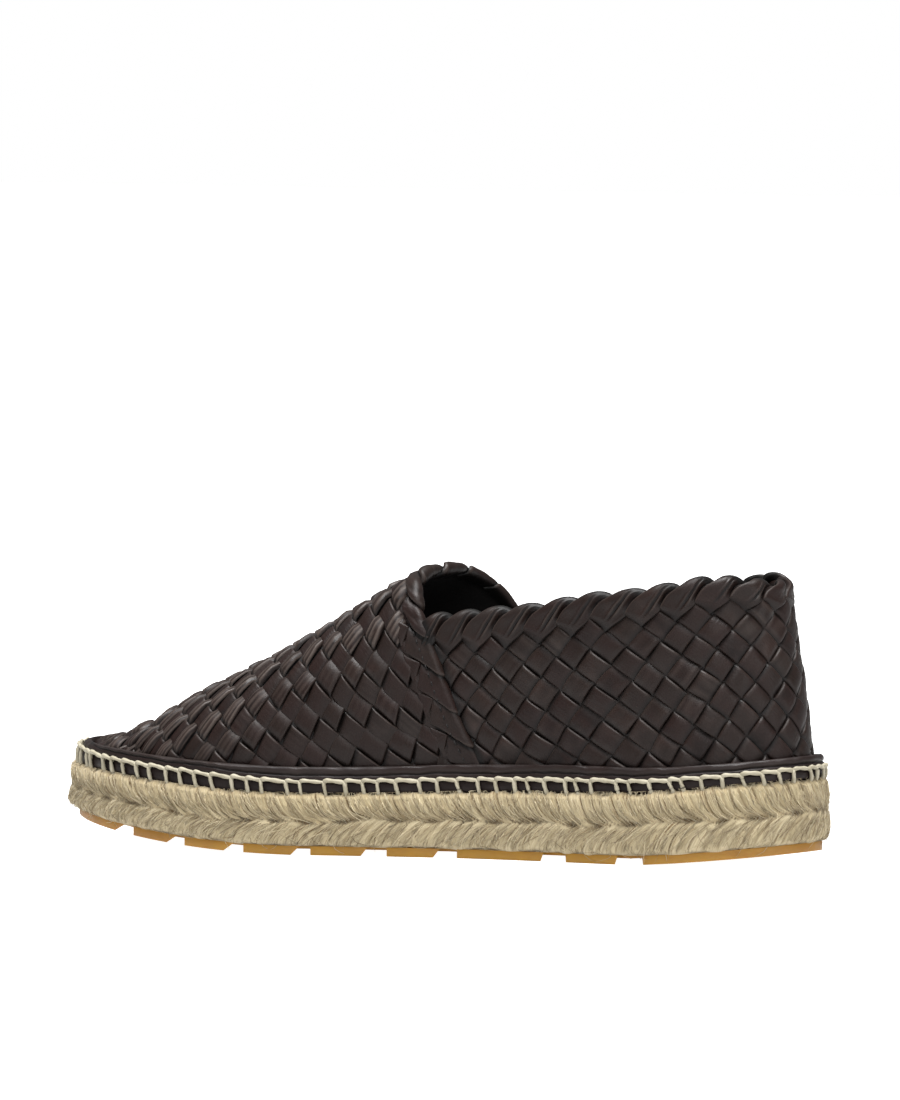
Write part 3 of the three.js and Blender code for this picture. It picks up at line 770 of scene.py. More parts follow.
def leather_material(name, colors, rim, roughness):
    """Dark satin leather that varies from strap to strap, paler along its rims by a painted highlight and
    darker in its hollows by painted shade.
    """
    material, tree, shader = new_material(name)
    place = add_node(tree, "TexCoord").outputs
    given = {"Vector": place["Object"], "Lay": place["UV"]}
    grain = add_node(tree, "Group", given, node_tree=LEATHER_GRAIN).outputs
    patches = grain["Patches"]
    body = color_ramp(tree, weigh(tree, attribute(tree, "tone"), 0.75, patches, 0.3), colors)
    # Painted highlight in the rim colour along rims and ridges, then painted shade in SHADE_COLOR in gaps,
    # creases and under straps.
    body = mix_colors(tree, attribute(tree, "edge"), body, rim)
    fill(tree, shader, {
        "Base Color": mix_colors(tree, attribute(tree, "deep"), body, SHADE_COLOR),
        "Roughness": remap(tree, patches, 0.0, 1.0, roughness + 0.1, roughness - 0.08),
        "Specular IOR Level": 0.2,
        "Normal": bump(tree, grain["Height"], 0.35, GRAIN_DEPTH),
    })
    return material


def plain_leather_material(name, color, roughness):
    """Even dark leather for the lining, the footbed and the seam thread."""
    material, tree, shader = new_material(name)
    place = add_node(tree, "TexCoord").outputs["Object"]
    grain = add_node(tree, "Group", {"Vector": place, "Lay": place}, node_tree=LEATHER_GRAIN).outputs
    paler = tuple(part * 1.6 for part in color[:3]) + (1.0,)
    fill(tree, shader, {
        "Base Color": mix_colors(tree, grain["Patches"], color, paler),
        "Roughness": roughness,
        "Specular IOR Level": 0.3,
        "Normal": bump(tree, grain["Height"], 0.3, GRAIN_DEPTH),
    })
    return material


def jute_material():
    """Straw-coloured fibres that lie along each strand, darker by painted shade in the braid's grooves and
    gaps, and browner on some loose fibres.
    """
    material, tree, shader = new_material("jute")
    lay = add_node(tree, "TexCoord").outputs["UV"]
    fibres = noise(tree, drawn_out(tree, lay, 2.4, 0.12), 1.0, 5.0, Roughness=0.65)
    bands = noise(tree, drawn_out(tree, lay, 0.5, 0.05), 1.0, 2.0)
    slits = noise(tree, drawn_out(tree, lay, 1.7, 0.04), 1.0, 2.0)
    streak = remap(tree, fibres, 0.3, 0.7, 0.0, 1.0)
    shade = weigh(tree, streak, 0.65, attribute(tree, "tone"), 0.35)
    straw = mix_colors(tree, shade, (0.325, 0.258, 0.145, 1), (0.575, 0.495, 0.333, 1))
    straw = mix_colors(tree, remap(tree, bands, 0.45, 0.7, 0.0, 0.3), straw, (0.40, 0.32, 0.175, 1))
    straw = mix_colors(tree, remap(tree, slits, 0.385, 0.35, 0.0, 0.9), straw, (0.14, 0.08, 0.03, 1))
    # The groove attribute darkens towards brown: painted shade on the braid, real browner colour on loose
    # fibres.
    fill(tree, shader, {
        "Base Color": mix_colors(tree, attribute(tree, "groove"), straw, (0.12, 0.072, 0.03, 1)),
        "Roughness": 0.9,
        "Specular IOR Level": 0.15,
        "Sheen Weight": 0.15,
        "Normal": bump(tree, streak, 0.6, 0.3 * MM),
    })
    return material


def thread_material():
    """Waxed cream thread with a little dirt."""
    material, tree, shader = new_material("cream thread")
    place = add_node(tree, "TexCoord").outputs["Object"]
    dirt = remap(tree, noise(tree, place, 260.0, 3.0), 0.4, 0.75, 0.0, 1.0)
    fill(tree, shader, {
        "Base Color": mix_colors(tree, dirt, (0.35, 0.318, 0.236, 1), (0.245, 0.217, 0.148, 1)),
        "Roughness": 0.6,
        "Normal": bump(tree, noise(tree, place, 2200.0, 2.0), 0.4, 0.2 * MM),
    })
    return material


def gum_material():
    """Amber gum rubber, darker towards the top as painted shade under the jute and lighter at the lower
    edge as painted light from the floor.
    """
    material, tree, shader = new_material("gum")
    place = add_node(tree, "TexCoord").outputs["Object"]
    height = add_node(tree, "SeparateXYZ", {0: place}).outputs[2]
    cloud = remap(tree, noise(tree, place, 90.0, 3.0), 0.35, 0.7, -0.2, 0.3)
    scuffs = noise(tree, place, 700.0, 4.0)
    # Painted shade rising with height towards the jute, with random clouds.
    level = calculate(tree, "ADD", remap(tree, height, 0.0, 4 * MM, 0.0, 0.8), cloud)
    fill(tree, shader, {
        "Base Color": mix_colors(tree, level, (0.39, 0.205, 0.016, 1), (0.285, 0.13, 0.01, 1)),
        "Roughness": remap(tree, scuffs, 0.3, 0.7, 0.38, 0.6),
        "Subsurface Weight": 0.25,
        "Subsurface Radius": (0.004, 0.002, 0.0006),
        "Subsurface Scale": 1.0,
        "Normal": bump(tree, scuffs, 0.2, 0.2 * MM),
    })
    return material


SHADE_COLOR = (0.002, 0.0014, 0.0012, 1)
STRAP_COLORS = [(0.0042, 0.002, 0.0016, 1), (0.012, 0.0054, 0.0043, 1),
                (0.0112, 0.0065, 0.0052, 1), (0.021, 0.0116, 0.0093, 1)]
RAND_COLORS = [(0.0085, 0.0046, 0.0041, 1), (0.0165, 0.0095, 0.0083, 1)]
# The third value of each leather is the colour of its painted highlight along rims and ridges.
WOVEN = leather_material("woven leather", STRAP_COLORS, (0.062, 0.047, 0.04, 1), 0.45)
RAND_LEATHER = leather_material("rand leather", RAND_COLORS, (0.04, 0.032, 0.028, 1), 0.45)
LINING = plain_leather_material("lining", (0.006, 0.005, 0.005, 1), 0.75)
FOOTBED = plain_leather_material("footbed", (0.01, 0.0085, 0.008, 1), 0.65)
JUTE_FIBRE = jute_material()
CREAM_THREAD = thread_material()
GUM = gum_material()


# Woven leather
def add_woven(name, points, faces, lay, stands_for=(), **tone_and_painted_light):
    return add_piece(name, points, faces, WOVEN, "woven_leather", stands_for, lay, **tone_and_painted_light)


def quarter_place(i, j):
    """Way round and drop of a place in the quarter's weave, by its column and row."""
    t = i + QUARTER_SHIFT
    columns, row = np.abs(t), j - 1
    crowd = QUARTER_CROWD * np.maximum(0, columns - QUARTER_EVEN) ** 2
    below = np.maximum(row, 0)
    lean = below * (QUARTER_LEAN[0] + QUARTER_LEAN[1] * below) * smooth_step(columns, 0, QUARTER_EVEN)
    along = np.sign(t) * (QUARTER_COLUMN * columns - crowd - lean)
    down = QUARTER_TIP + QUARTER_TIP_DROP * columns + QUARTER_ROW * row + QUARTER_SAG * below ** 2
    return along, down


def vamp_place(i, j):
    """Way along and across the vamp of a place in its weave, by its column and row."""
    column = i - 1
    rows = np.sqrt(j * j + VAMP_RIDGE_BEND) - VAMP_RIDGE_DROP - VAMP_SHOULDER
    along = VAMP_START + VAMP_COLUMN * column + rows * (VAMP_SPREAD * column - VAMP_LEAN[0])
    along = along - VAMP_LEAN[1] * rows ** 2
    sweep = VAMP_SWEEP[0] + VAMP_SWEEP[1] * column + VAMP_SWEEP[2] * column ** 2
    past = np.maximum(0, np.abs(j) - VAMP_SHOULDER)
    pitch = VAMP_ROW - VAMP_NARROWING * column
    return along, sweep + pitch * j + VAMP_WIDENING * np.sign(j) * past ** 2


def strap_height(a, b, puff, ease):
    """Section of a strap that arches over its neighbours and dives under them, deeper at its toe end."""
    full = np.clip(puff, 0, 1)
    dive = smooth_step(np.abs(b), STRAP_DIVE_FROM, STRAP_DIVE_TO)
    ends = STRAP_DIVE * dive * np.where(b < 0, 1 - ease, 1)
    rims = STRAP_EDGE_DROP * np.abs(a) ** (STRAP_RIM_FLAT + (STRAP_RIM_PUFFED - STRAP_RIM_FLAT) * full)
    crown = STRAP_CROWN * (a ** 2 + b ** 2) + STRAP_PUFF_CROWN * full * a ** 2
    return STRAP_RISE + np.where(puff > 0, STRAP_PUFF_RISE, STRAP_PUFF_SINK) * puff - ends - rims - crown


def weave(cells, grid, rng, pleats, puff, ease):
    """Strap patches for woven cells, as places in the weave, heights, and tones with painted highlights and
    painted shade.
    """
    across, along, faces = grid_patch(*grid, STRAP_GATHER)
    i, j = (np.array(cells)[:, axis, None] for axis in (0, 1))
    count = len(cells)
    forward = i % 2 == 0
    puff, pleats = puff[:, None], pleats[:, None]
    full = np.clip(puff, 0, 1)
    reach = along * STRAP_REACH * (1 + 0.1 * puff)
    wide = (STRAP_COVER + 0.1 * ease) * (1 + 0.05 * puff) * rng.uniform(*STRAP_WIDTHS, (count, 1))
    a = across * wide * (1 - 0.22 * full * np.abs(along) ** 3)
    a = a + either_way(rng, STRAP_TURN, count) * reach
    a = a + either_way(rng, STRAP_SLACK, count)
    b = reach + either_way(rng, STRAP_SLACK, count)

    spans = []
    bounds = rng.uniform(-STRAP_UNEVEN, STRAP_UNEVEN, (2, STRAP_LINES))
    for line, middle in zip(bounds, (i + j, i - j)):
        n = (middle + STRAP_LINES) // 2
        low = middle - 1 + line[n - 1]
        high = middle + 1 + line[n]
        spans.append(((low + high) / 2, (high - low) / 2))
    (p_middle, p_half), (q_middle, q_half) = spans
    p = p_middle + p_half * np.where(forward, b, -a)
    q = q_middle + q_half * np.where(forward, a, b)

    height = strap_height(across, reach, puff, ease)
    height = height + STRAP_TILT * ease * np.where(forward, -a, a)
    for spread, shape in zip(STRAP_TIPPING, (a, b, 1 - b ** 2)):
        height = height + rng.normal(0, spread, (count, 1)) * shape
    folds = rng.uniform(*STRAP_FOLDS, (count, 1))
    phase = rng.uniform(0, 1, (count, 1))
    bend = 0.14 * np.sin(b * 1.3 + 6 * phase)
    ridges = np.abs(np.sin(math.pi * (folds * (across + 1) / 2 + phase + bend)))
    height = height + pleats * (ridges - 0.6) * (1 - 0.4 * along ** 2)
    height = np.maximum(height, -STRAP_DEPTH)

    strap = np.where(forward, i - j, i + j)[:, 0]
    strap_tone = rng.uniform(0, 1, STRAP_LINES)[strap + STRAP_LINES // 2]
    tone = np.clip(0.5 * strap_tone + 0.75 * rng.uniform(0, 1, count) - 0.12, 0, 1)
    tone = 0.5 + (tone - 0.5) * (1 - ease)
    # Straps that sink under their neighbours get a darker tone, as painted shade.
    tone = np.clip(tone + 0.25 * np.minimum(puff[:, 0], 0), 0, 1)
    # Painted highlight along the rims, stronger on one side, and on the ridges of pleats.
    rim = np.clip((np.abs(across) - 0.8) / 0.12, 0, 1) * np.clip((1 - np.abs(across)) / 0.04, 0, 1)
    ridge_highlight = np.clip(2.6 * pleats, 0, 1) * np.clip((ridges - 0.5) / 0.5, 0, 1)
    edge = (0.03 + 0.17 * (across > 0)) * rim + ridge_highlight
    # Painted shade in the creases of pleats, at the ends that dive under other straps, less at one end, and
    # on the side walls.
    crease = np.clip(3.0 * pleats, 0, 0.9) * np.clip(1 - ridges / 0.4, 0, 1)
    dive_shade = smooth_step(np.abs(reach), 0.66, 1.02) * np.where(reach < 0, 0.85 - 1.6 * ease, 0.9)
    shaded = np.where(forward, -across, across)
    near_wall_shade = 0.9 * smooth_step(shaded, 0.96, 1.0)
    far_wall_shade = 0.9 * (1 - 2 * ease) * smooth_step(-shaded, 0.965, 1.0)
    deep = largest(dive_shade, crease, near_wall_shade, far_wall_shade)
    lay = np.stack([b * 4 + rng.uniform(0, 400, (count, 1)), a * 4], axis=-1)
    tone_and_painted_light = {"tone": np.repeat(tone, len(across)), "edge": np.clip(edge, 0, 1), "deep": deep}
    return ((p + q) / 2, (p - q) / 2), height, copies_of(faces, len(across), count), lay, tone_and_painted_light


def woven_cells(columns, rows, shown):
    """Crossings of a weave, by column and row, for which a test holds."""
    places = [(i, j) for i in columns for j in rows if (i + j) % 2 == 0]
    return [place for place in places if shown(*place)]


def quarter_shown(i, j):
    point, _ = quarter.read(*quarter_place(i, j))
    return point[2] > rand_edge(point[0]) - STRAP_FOOT and past_edge(point) <= QUARTER_UNDER_VAMP


def vamp_shown(i, j):
    along, across = vamp_place(i, j)
    point, _ = vamp.read(along, across)
    inside = edge_along(across) - along <= VAMP_PAST_EDGE and along <= crest_along[-1] + VAMP_PAST_TOE
    return point[2] > rand_edge(point[0]) - STRAP_FOOT and inside


def vamp_shade(points):
    """Shade in the gap behind the vamp's back edge."""
    return 1 - smooth_step(-past_edge(points), *VAMP_SHADE_REACH)


def build_quarter_weave():
    rng = np.random.default_rng(11)
    columns = range(-QUARTER_COLUMNS, QUARTER_COLUMNS + 1)
    cells = woven_cells(columns, range(1, QUARTER_ROWS + 1), quarter_shown)
    pleats = QUARTER_PLEATS * rng.uniform(0, 1, len(cells)) ** 4
    flat = np.zeros(len(cells))
    (i, j), height, faces, lay, tone_and_painted_light = weave(cells, QUARTER_GRID, rng, pleats, flat, STRAP_EASE[0])
    points = quarter.at(*quarter_place(i, j), height)
    # Painted shadow behind the vamp's back edge.
    tone_and_painted_light["deep"] = np.maximum(tone_and_painted_light["deep"], vamp_shade(points))
    add_woven("quarter_weave", points, faces, lay, ["upper"], **tone_and_painted_light)


def build_vamp_weave():
    rng = np.random.default_rng(12)
    columns, rows = (range(low, high + 1) for low, high in (VAMP_COLUMNS, VAMP_ROWS))
    cells = woven_cells(columns, rows, vamp_shown)
    i, j = np.array(cells).T
    along, across = vamp_place(i, j)
    on_top = (1 - smooth_step(np.abs(across), *PUFF_TOP_SIDE)) * smooth_step(along, *PUFF_TOP_START)
    on_toe = smooth_step(along, *PUFF_TOE_START) * (1 - smooth_step(np.abs(across), *PUFF_TOE_SIDE))
    puff = np.maximum(on_top, on_toe) * np.where(i % 2 == 0, 1.0, -1.0)
    pleats = VAMP_PLEATS * np.clip(puff, 0, 1) * rng.uniform(0.4, 1, len(cells))
    pleats = pleats + VAMP_CREASES * rng.uniform(0, 1, len(cells)) ** 3
    (i, j), height, faces, lay, tone_and_painted_light = weave(cells, VAMP_GRID, rng, pleats, puff, STRAP_EASE[1])
    along, across = vamp_place(i, j)
    limit = edge_along(across) + EDGE_LAP
    band = (EDGE_BAND - EDGE_UNCOVERED) * (0.4 + 0.6 * smooth_step(np.abs(across), *EDGE_THROAT))
    under = limit + band - along
    height = height - STRAP_DEPTH * smooth_step(under, 0, 1.2)
    # Less painted shade where straps run under the vamp's folded edge.
    tone_and_painted_light["deep"] = tone_and_painted_light["deep"] * (1 - 0.8 * smooth_step(under, -0.5, 1.0))
    along = np.maximum(along, limit)
    points = vamp.at(along, across, height + vamp_lift(along, across) - toe_drop(along))
    piece = add_woven("vamp_weave", points, faces, lay, **tone_and_painted_light)
    edit_all(piece, lambda: bpy.ops.mesh.remove_doubles(threshold=2e-6))


def over_roll(read, u, v, top, radius, height, lift):
    """Places on a sheet whose edge at v = top rolls over a rounded rim to the back."""
    past = np.maximum(0, top - v)
    turn = np.minimum(past / radius, math.pi)
    behind = past - turn * radius
    base, normal = read(u, np.maximum(v, top))
    rim, _ = read(u, np.maximum(v, top) + 0.5)
    upward = unit(base - rim)
    centre = base - normal * (radius - np.asarray(lift)[..., None])
    reach = radius + np.asarray(height)[..., None]
    spoke = np.cos(turn)[..., None] * normal + np.sin(turn)[..., None] * upward
    return centre + spoke * reach - upward * behind[..., None]


# Both sides of a collar strap from its lower end up and over the rim: share of the pitch towards the
# heel, and height over the tip of the leaf
LEAF_WAY = [0.0, 0.14, 0.28, 0.42, 0.5, 0.66, 0.83, 1.0]
LEAF_UPPER = np.array([(-0.50, 4.2), (-0.45, 6.0), (-0.31, 8.5), (-0.09, 10.2), (0.13, 11.0), (0.42, 13.0),
                       (0.68, 15.0), (0.90, 18.0)])
LEAF_LOWER = np.array([(-0.05, -0.3), (0.35, 2.2), (0.59, 4.4), (0.70, 6.8), (0.79, 9.0), (1.00, 11.2),
                       (1.25, 13.5), (1.50, 17.0)])

# Section of the strap from its lower to its upper side, low on the wall and over the rim
LEAF_SHARE = [0.0, 0.03, 0.08, 0.16, 0.3, 0.45, 0.6, 0.8, 0.9, 0.96, 1.0]
LEAF_FLAT = [-0.5, 0.5, 0.82, 0.92, 0.97, 1.0, 1.0, 0.97, 0.9, 0.6, -0.5]
LEAF_ROUND = [-0.6, -0.5, -0.35, -0.05, 0.45, 0.82, 1.0, 0.97, 0.86, 0.6, -0.5]


def collar_top(along):
    """Drop of the collar's rim under the top of the quarter, lower in the middle of the heel."""
    return COLLAR_ROLL_TOP + HEEL_TOP_DROP * (1 - smooth_step(np.abs(along), *HEEL_TOP_REACH))


def collar_columns():
    """Columns of the quarter's top row whose straps roll over the collar."""
    columns = range(-QUARTER_COLUMNS, QUARTER_COLUMNS + 1, 2)
    tips = [quarter.read(*quarter_place(column, 0))[0] for column in columns]
    return [column for column, tip in zip(columns, tips) if past_edge(tip) < COLLAR_UNDER_VAMP]


def build_collar():
    """Straps of the top row, rolled over the collar like the strands of a rope."""
    rng = np.random.default_rng(13)
    across, along, faces = grid_patch(*COLLAR_GRID, (1.15, 1.0))
    share = (across + 1) / 2
    way = (along + 1) / 2
    upper = [curve_through(LEAF_WAY, side)(way) for side in LEAF_UPPER.T]
    lower = [curve_through(LEAF_WAY, side)(way) for side in LEAF_LOWER.T]
    i = np.array(collar_columns(), float)[:, None]
    count = len(i)
    tip_along, tip_down = quarter_place(i, 1.0)
    pitch = quarter_place(i + 1, 1.0)[0] - quarter_place(i - 1, 1.0)[0]
    aside = lower[0] + (upper[0] - lower[0]) * share + either_way(rng, 0.02, count)
    rise = lower[1] + (upper[1] - lower[1]) * share
    place = tip_along - aside * pitch
    top = collar_top(place)
    down = tip_down - (tip_down - top + COLLAR_ROLL_TOP) * rise / COLLAR_STRAND_HEIGHT
    over = smooth_step(way, 0.16, 0.5)
    section = curve_through(LEAF_SHARE, LEAF_FLAT)(share) * (1 - over)
    section = section + curve_through(LEAF_SHARE, LEAF_ROUND)(share) * over
    fold_place = share - either_way(rng, 0.03, count) - 0.1 * (way - 0.3)
    window = smooth_step(way, 0.06, 0.3) * (1 - smooth_step(way, 0.5, 0.72))
    folds = (bell(fold_place, 0.24, 0.05) + 0.8 * bell(fold_place, 0.41, 0.05)) * window
    folds = folds * rng.uniform(0.7, 1.2, (count, 1))
    low, high = COLLAR_STRAND_LIFT
    grown = (low + (high - low) * over) * rng.uniform(0.92, 1.08, (count, 1))
    start = smooth_step(way, 0.0, 0.12)
    heel = 1 - smooth_step(np.abs(place + 4), 8, 24)
    lift = -0.5 + start * (0.5 + grown * section * (1 - 0.25 * heel) + 0.75 * folds * (1 - heel))
    lift = (lift + 0.6) * (1 - smooth_step(way, 0.8, 1.0)) - 0.6
    points = over_roll(quarter.read, place, down, top, COLLAR_ROLL, lift, COLLAR_STAND)
    lay = stacked(way * 20 + 40 * i, share * 8)
    tone = np.repeat(rng.uniform(0.2, 0.9, count), len(across))
    # Painted highlight on the folds and along the upper side of each strap. Painted shade where its lower
    # side tucks under, in the valley between folds, at its lower end, on its side walls and inside the
    # roll, less at the heel, and in the gap behind the vamp.
    edge = 0.8 * np.clip(folds - 0.5, 0, 0.5) + 0.3 * bell(share, 0.93, 0.025) * start
    tucked_shade = (1 - smooth_step(share, 0.1, 0.2)) * over
    valley_shade = 0.95 * bell(fold_place, 0.33, 0.04) * window
    walls = np.maximum(1 - smooth_step(share, 0.015, 0.05), smooth_step(share, 0.955, 0.99))
    inside = smooth_step(way, 0.56, 0.68)
    deep = largest(tucked_shade, valley_shade, 0.8 * (1 - start), walls, inside) * (1 - 0.6 * heel)
    deep = np.maximum(deep, vamp_shade(points))
    faces = copies_of(faces, len(across), count)
    add_woven("collar_strands", points, faces, lay, tone=tone, edge=edge, deep=deep)


def build_collar_core():
    """Plain rolled rim under the straps of the collar."""
    along = np.arange(-QUARTER_REACH, QUARTER_REACH, 2.0)[:, None]
    point, _ = quarter.read(along, collar_top(along))
    along = along[past_edge(point)[:, 0] < CORE_UNDER_VAMP]
    top = collar_top(along)
    down = top + np.linspace(*CORE_REACH, CORE_ROWS)
    points = over_roll(quarter.read, along, down, top, COLLAR_ROLL, -CORE_DEPTH, COLLAR_STAND)
    faces = loop_faces(len(along), CORE_ROWS, False)[:, ::-1]
    # Even painted shade over the core under the straps.
    add_woven("collar_core", points, faces, stacked(along, down), tone=0.4, edge=0.0, deep=0.25)


def read_edge(across, inward):
    """The vamp read by the way round it and the distance in from its back edge."""
    return vamp.read(edge_along(across) + inward, across)


def edge_marks(pitch):
    """Places round the vamp's back edge, from the rand on one side to the rand on the other."""
    marks = np.arange(-EDGE_REACH, EDGE_REACH, pitch)
    point, _ = read_edge(marks, 0.0)
    return marks[point[:, 2] > rand_edge(point[:, 0]) - EDGE_FOOT]


# Lean of a folded strand: its middle along the edge by the distance in from the edge, and its section
EDGE_INWARD = [-4.5, 0.3, 5.4, 9.8]
EDGE_MIDDLE = [16.5, 12.5, 4.0, 4.6]
EDGE_SHARE = [-1.15, -0.9, -0.6, -0.1, 0.4, 0.8, 0.93, 1.0]
EDGE_SECTION = [-0.6, 0.1, 0.55, 0.85, 1.0, 0.95, 0.7, -0.5]


def build_vamp_edge():
    """Folded back edge of the vamp: strands with a pointed end that lean over its rim, lapped in a row."""
    rng = np.random.default_rng(14)
    across, along, faces = grid_patch(*EDGE_GRID, (1.6, 1.0))
    mark = edge_marks(EDGE_STRAND_PITCH)[:, None]
    count = len(mark)
    t = (along + 1) / 2
    a = np.where(across < 0, -EDGE_SHARE[0] * across, across)
    low = smooth_step(np.abs(mark), *EDGE_THROAT)
    band, neck = (size * (0.55 + 0.45 * low) for size in (EDGE_BAND, EDGE_NECK))
    inward = band - (band + EDGE_TURN_UNDER) * t
    lapped = smooth_step(neck - inward, -1.5, 1.0)
    half = EDGE_STRAND_PITCH / 2 * np.clip((band - inward) / (band - neck), 0.01, 1)
    middle = mark + np.interp(inward, EDGE_INWARD, EDGE_MIDDLE)
    way = middle + np.where(lapped > 0, a, across) * half + either_way(rng, 0.6, count)
    section = curve_through(EDGE_SHARE, EDGE_SECTION)(a) * lapped
    section = section + (0.85 - 1.3 * np.abs(across) ** 14) * (1 - lapped)
    calm = 0.6 * smooth_step(3.5 - inward, 0, 3) * low
    section = section + (0.75 - section) * calm
    folds = rng.uniform(1.6, 2.4, (count, 1))
    ridges = np.abs(np.sin(math.pi * (folds * (a + 1) / 2 + 0.5 * t + rng.uniform(0, 1, (count, 1)))))
    depth = (rng.uniform(0.05, 0.2, (count, 1)) + 0.08 * (1 - low)) * lapped
    rise = 0.8 + 0.6 * (1 - low) + 0.4 * smooth_step(2.5 - inward, 0, 3) * low
    height = -0.05 + rise * section + depth * (ridges - 0.6) - 0.9 * (1 - smooth_step(t, 0, 0.05))
    stand = vamp_lift(edge_along(way) + np.maximum(inward, 0), way)
    points = over_roll(read_edge, way, inward, EDGE_ROLL, EDGE_ROLL, height, stand)
    lay = stacked(t * 22 + 40 * mark, a * 3)
    tone = np.repeat(rng.uniform(0.2, 0.8, count), len(across))
    # Painted highlight along one side of each lapped strand. Painted shade where it tucks under, in its
    # creases, on the rims of the unlapped part, on its other side wall and where it rolls under.
    edge = 0.4 * bell(a, 0.88, 0.06) * lapped
    tucked_shade = (1 - smooth_step(a, -0.98, -0.7)) * lapped
    creases = 2.0 * depth * np.clip(1 - ridges / 0.35, 0, 1)
    rims = (1 - lapped) * 0.8 * smooth_step(np.abs(across), 0.9, 1.0)
    deep = largest(tucked_shade, creases, rims, smooth_step(a, 0.955, 0.99), smooth_step(-inward, 1.2, 2.4))
    faces = copies_of(faces, len(across), count)
    add_woven("vamp_edge", points, faces, lay, tone=tone, edge=edge, deep=deep)


def build_vamp_folds():
    """Flat ends of straps between the points of the folded strands, narrowing towards the edge."""
    rng = np.random.default_rng(15)
    a, along, faces = grid_patch(*FOLD_GRID, (1.9, 1.2))
    mark = edge_marks(EDGE_STRAND_PITCH)[:, None]
    mark = mark[np.abs(mark[:, 0]) > EDGE_THROAT[1]]
    count = len(mark)
    t = (along + 1) / 2
    half = EDGE_STRAND_PITCH / 2 * np.clip(t, 0.01, 1)
    inward = EDGE_NECK + FOLD_LENGTH * t + either_way(rng, 0.3, count)
    way = mark + EDGE_MIDDLE[2] - EDGE_STRAND_PITCH / 2 + a * half
    height = 0.5 - 1.3 * np.abs(a) ** 14 - 0.25 * a ** 2
    height = height - 1.2 * smooth_step(t, 0.88, 1.0) - 0.5 * (1 - smooth_step(t, 0, 0.08))
    place = edge_along(way) + inward
    points = vamp.at(place, way, height + vamp_lift(place, way))
    lay = stacked(inward + 40 * mark, a * half)
    tone = np.repeat(rng.uniform(0.2, 0.7, count), len(a))
    # Painted highlight near the sides; painted shade on the sides and at the inner end, where it dives.
    edge = 0.25 * bell(np.abs(a), 0.86, 0.05)
    deep = np.maximum(smooth_step(np.abs(a), 0.92, 1.0), smooth_step(t, 0.86, 0.98)) * 0.9
    faces = copies_of(faces, len(a), count)
    add_woven("vamp_folds", points, faces, lay, tone=tone, edge=edge, deep=deep)


def build_lining():
    """Thin dark lining inside the quarter and the vamp."""
    along = np.arange(-QUARTER_REACH, QUARTER_REACH + LINING_STEP, LINING_STEP)[:, None]
    top = collar_top(along) + 0.5
    foot_x = quarter.read(along, LINING_FOOT)[0][..., 0]
    bottom = collar_height(foot_x) - seat_top(foot_x) - 1.5
    down = top + (bottom - top) * np.linspace(0, 1, LINING_BACK_ROWS)
    back = quarter.at(along, down, -LINING_DEPTH)
    across = np.linspace(-LINING_REACH, LINING_REACH, LINING_COLUMNS)[:, None]
    start = edge_along(across) + EDGE_ROLL
    way = start + (crest_along[-1] + 4 - start) * np.linspace(0, 1, LINING_FRONT_ROWS)
    sunk = 0.3 * vamp_lift(way, across) - 1.3 * toe_drop(way) - LINING_DEPTH
    front = vamp.at(way, across, sunk)
    front[..., 2] = np.maximum(front[..., 2], seat_top(front[..., 0]) + 0.2)
    points = np.concatenate([sheet.reshape(-1, 3) for sheet in (back, front)])
    faces_back, faces_front = (loop_faces(*sheet.shape[:2], False) for sheet in (back, front))
    faces = np.concatenate([faces_back, faces_front + back.shape[0] * back.shape[1]])
    piece = add_piece("lining", points, faces, LINING, "footbed")
    edit_all(piece, lambda: bpy.ops.mesh.remove_doubles(threshold=2e-5))
    apply_modifier(piece, "SOLIDIFY", thickness=LINING_THICKNESS * MM, offset=-1.0)


# Rand: inset of its face by level, and the rows at its back
RAND_LEVELS = [0.0, 0.1, 0.2, 0.29, 0.36, 0.42, 0.46, 0.52, 0.60, 0.66, 0.685, 0.71, 0.78, 0.88, 0.96, 1.0]
RAND_INSETS = [3.0, 2.75, 2.7, 2.75, 2.95, 3.2, 2.6, 2.4, 2.45, 2.75, 3.35, 2.85, 2.55, 2.65, 3.0, 3.6]
RAND_BACK_LEVELS = [1.0, 0.35, 0.0]
RAND_BACK_INSETS = [4.3, 5.0, 8.0]
RAND_CREASES = (0.685, 0.42)


def rand_lean(turn, level):
    """Extra lean of the rand back from the toe."""
    near_toe = smooth_step(0.5 - np.abs(np.mod(turn, 1.0) - 0.5), 0.42, 0.49)
    return TOE_RAND_LEAN * near_toe * level ** 1.5


def rand_height(x):
    """Height of the rand's face, a little taller ahead of the heel."""
    raised = RAND_RAISE * (smooth_step(x, -115, -60) - smooth_step(x, 50, 100))
    return rand_edge(x) - seat_top(x) + raised + TOE_RAND_RAISE * smooth_step(x, 112, 138)


def seam_level(x):
    """Lift of the stitch row on the rand towards the toe."""
    return 1 + 0.22 * smooth_step(x, 35, 80) + 0.4 * smooth_step(x, 105, 138)


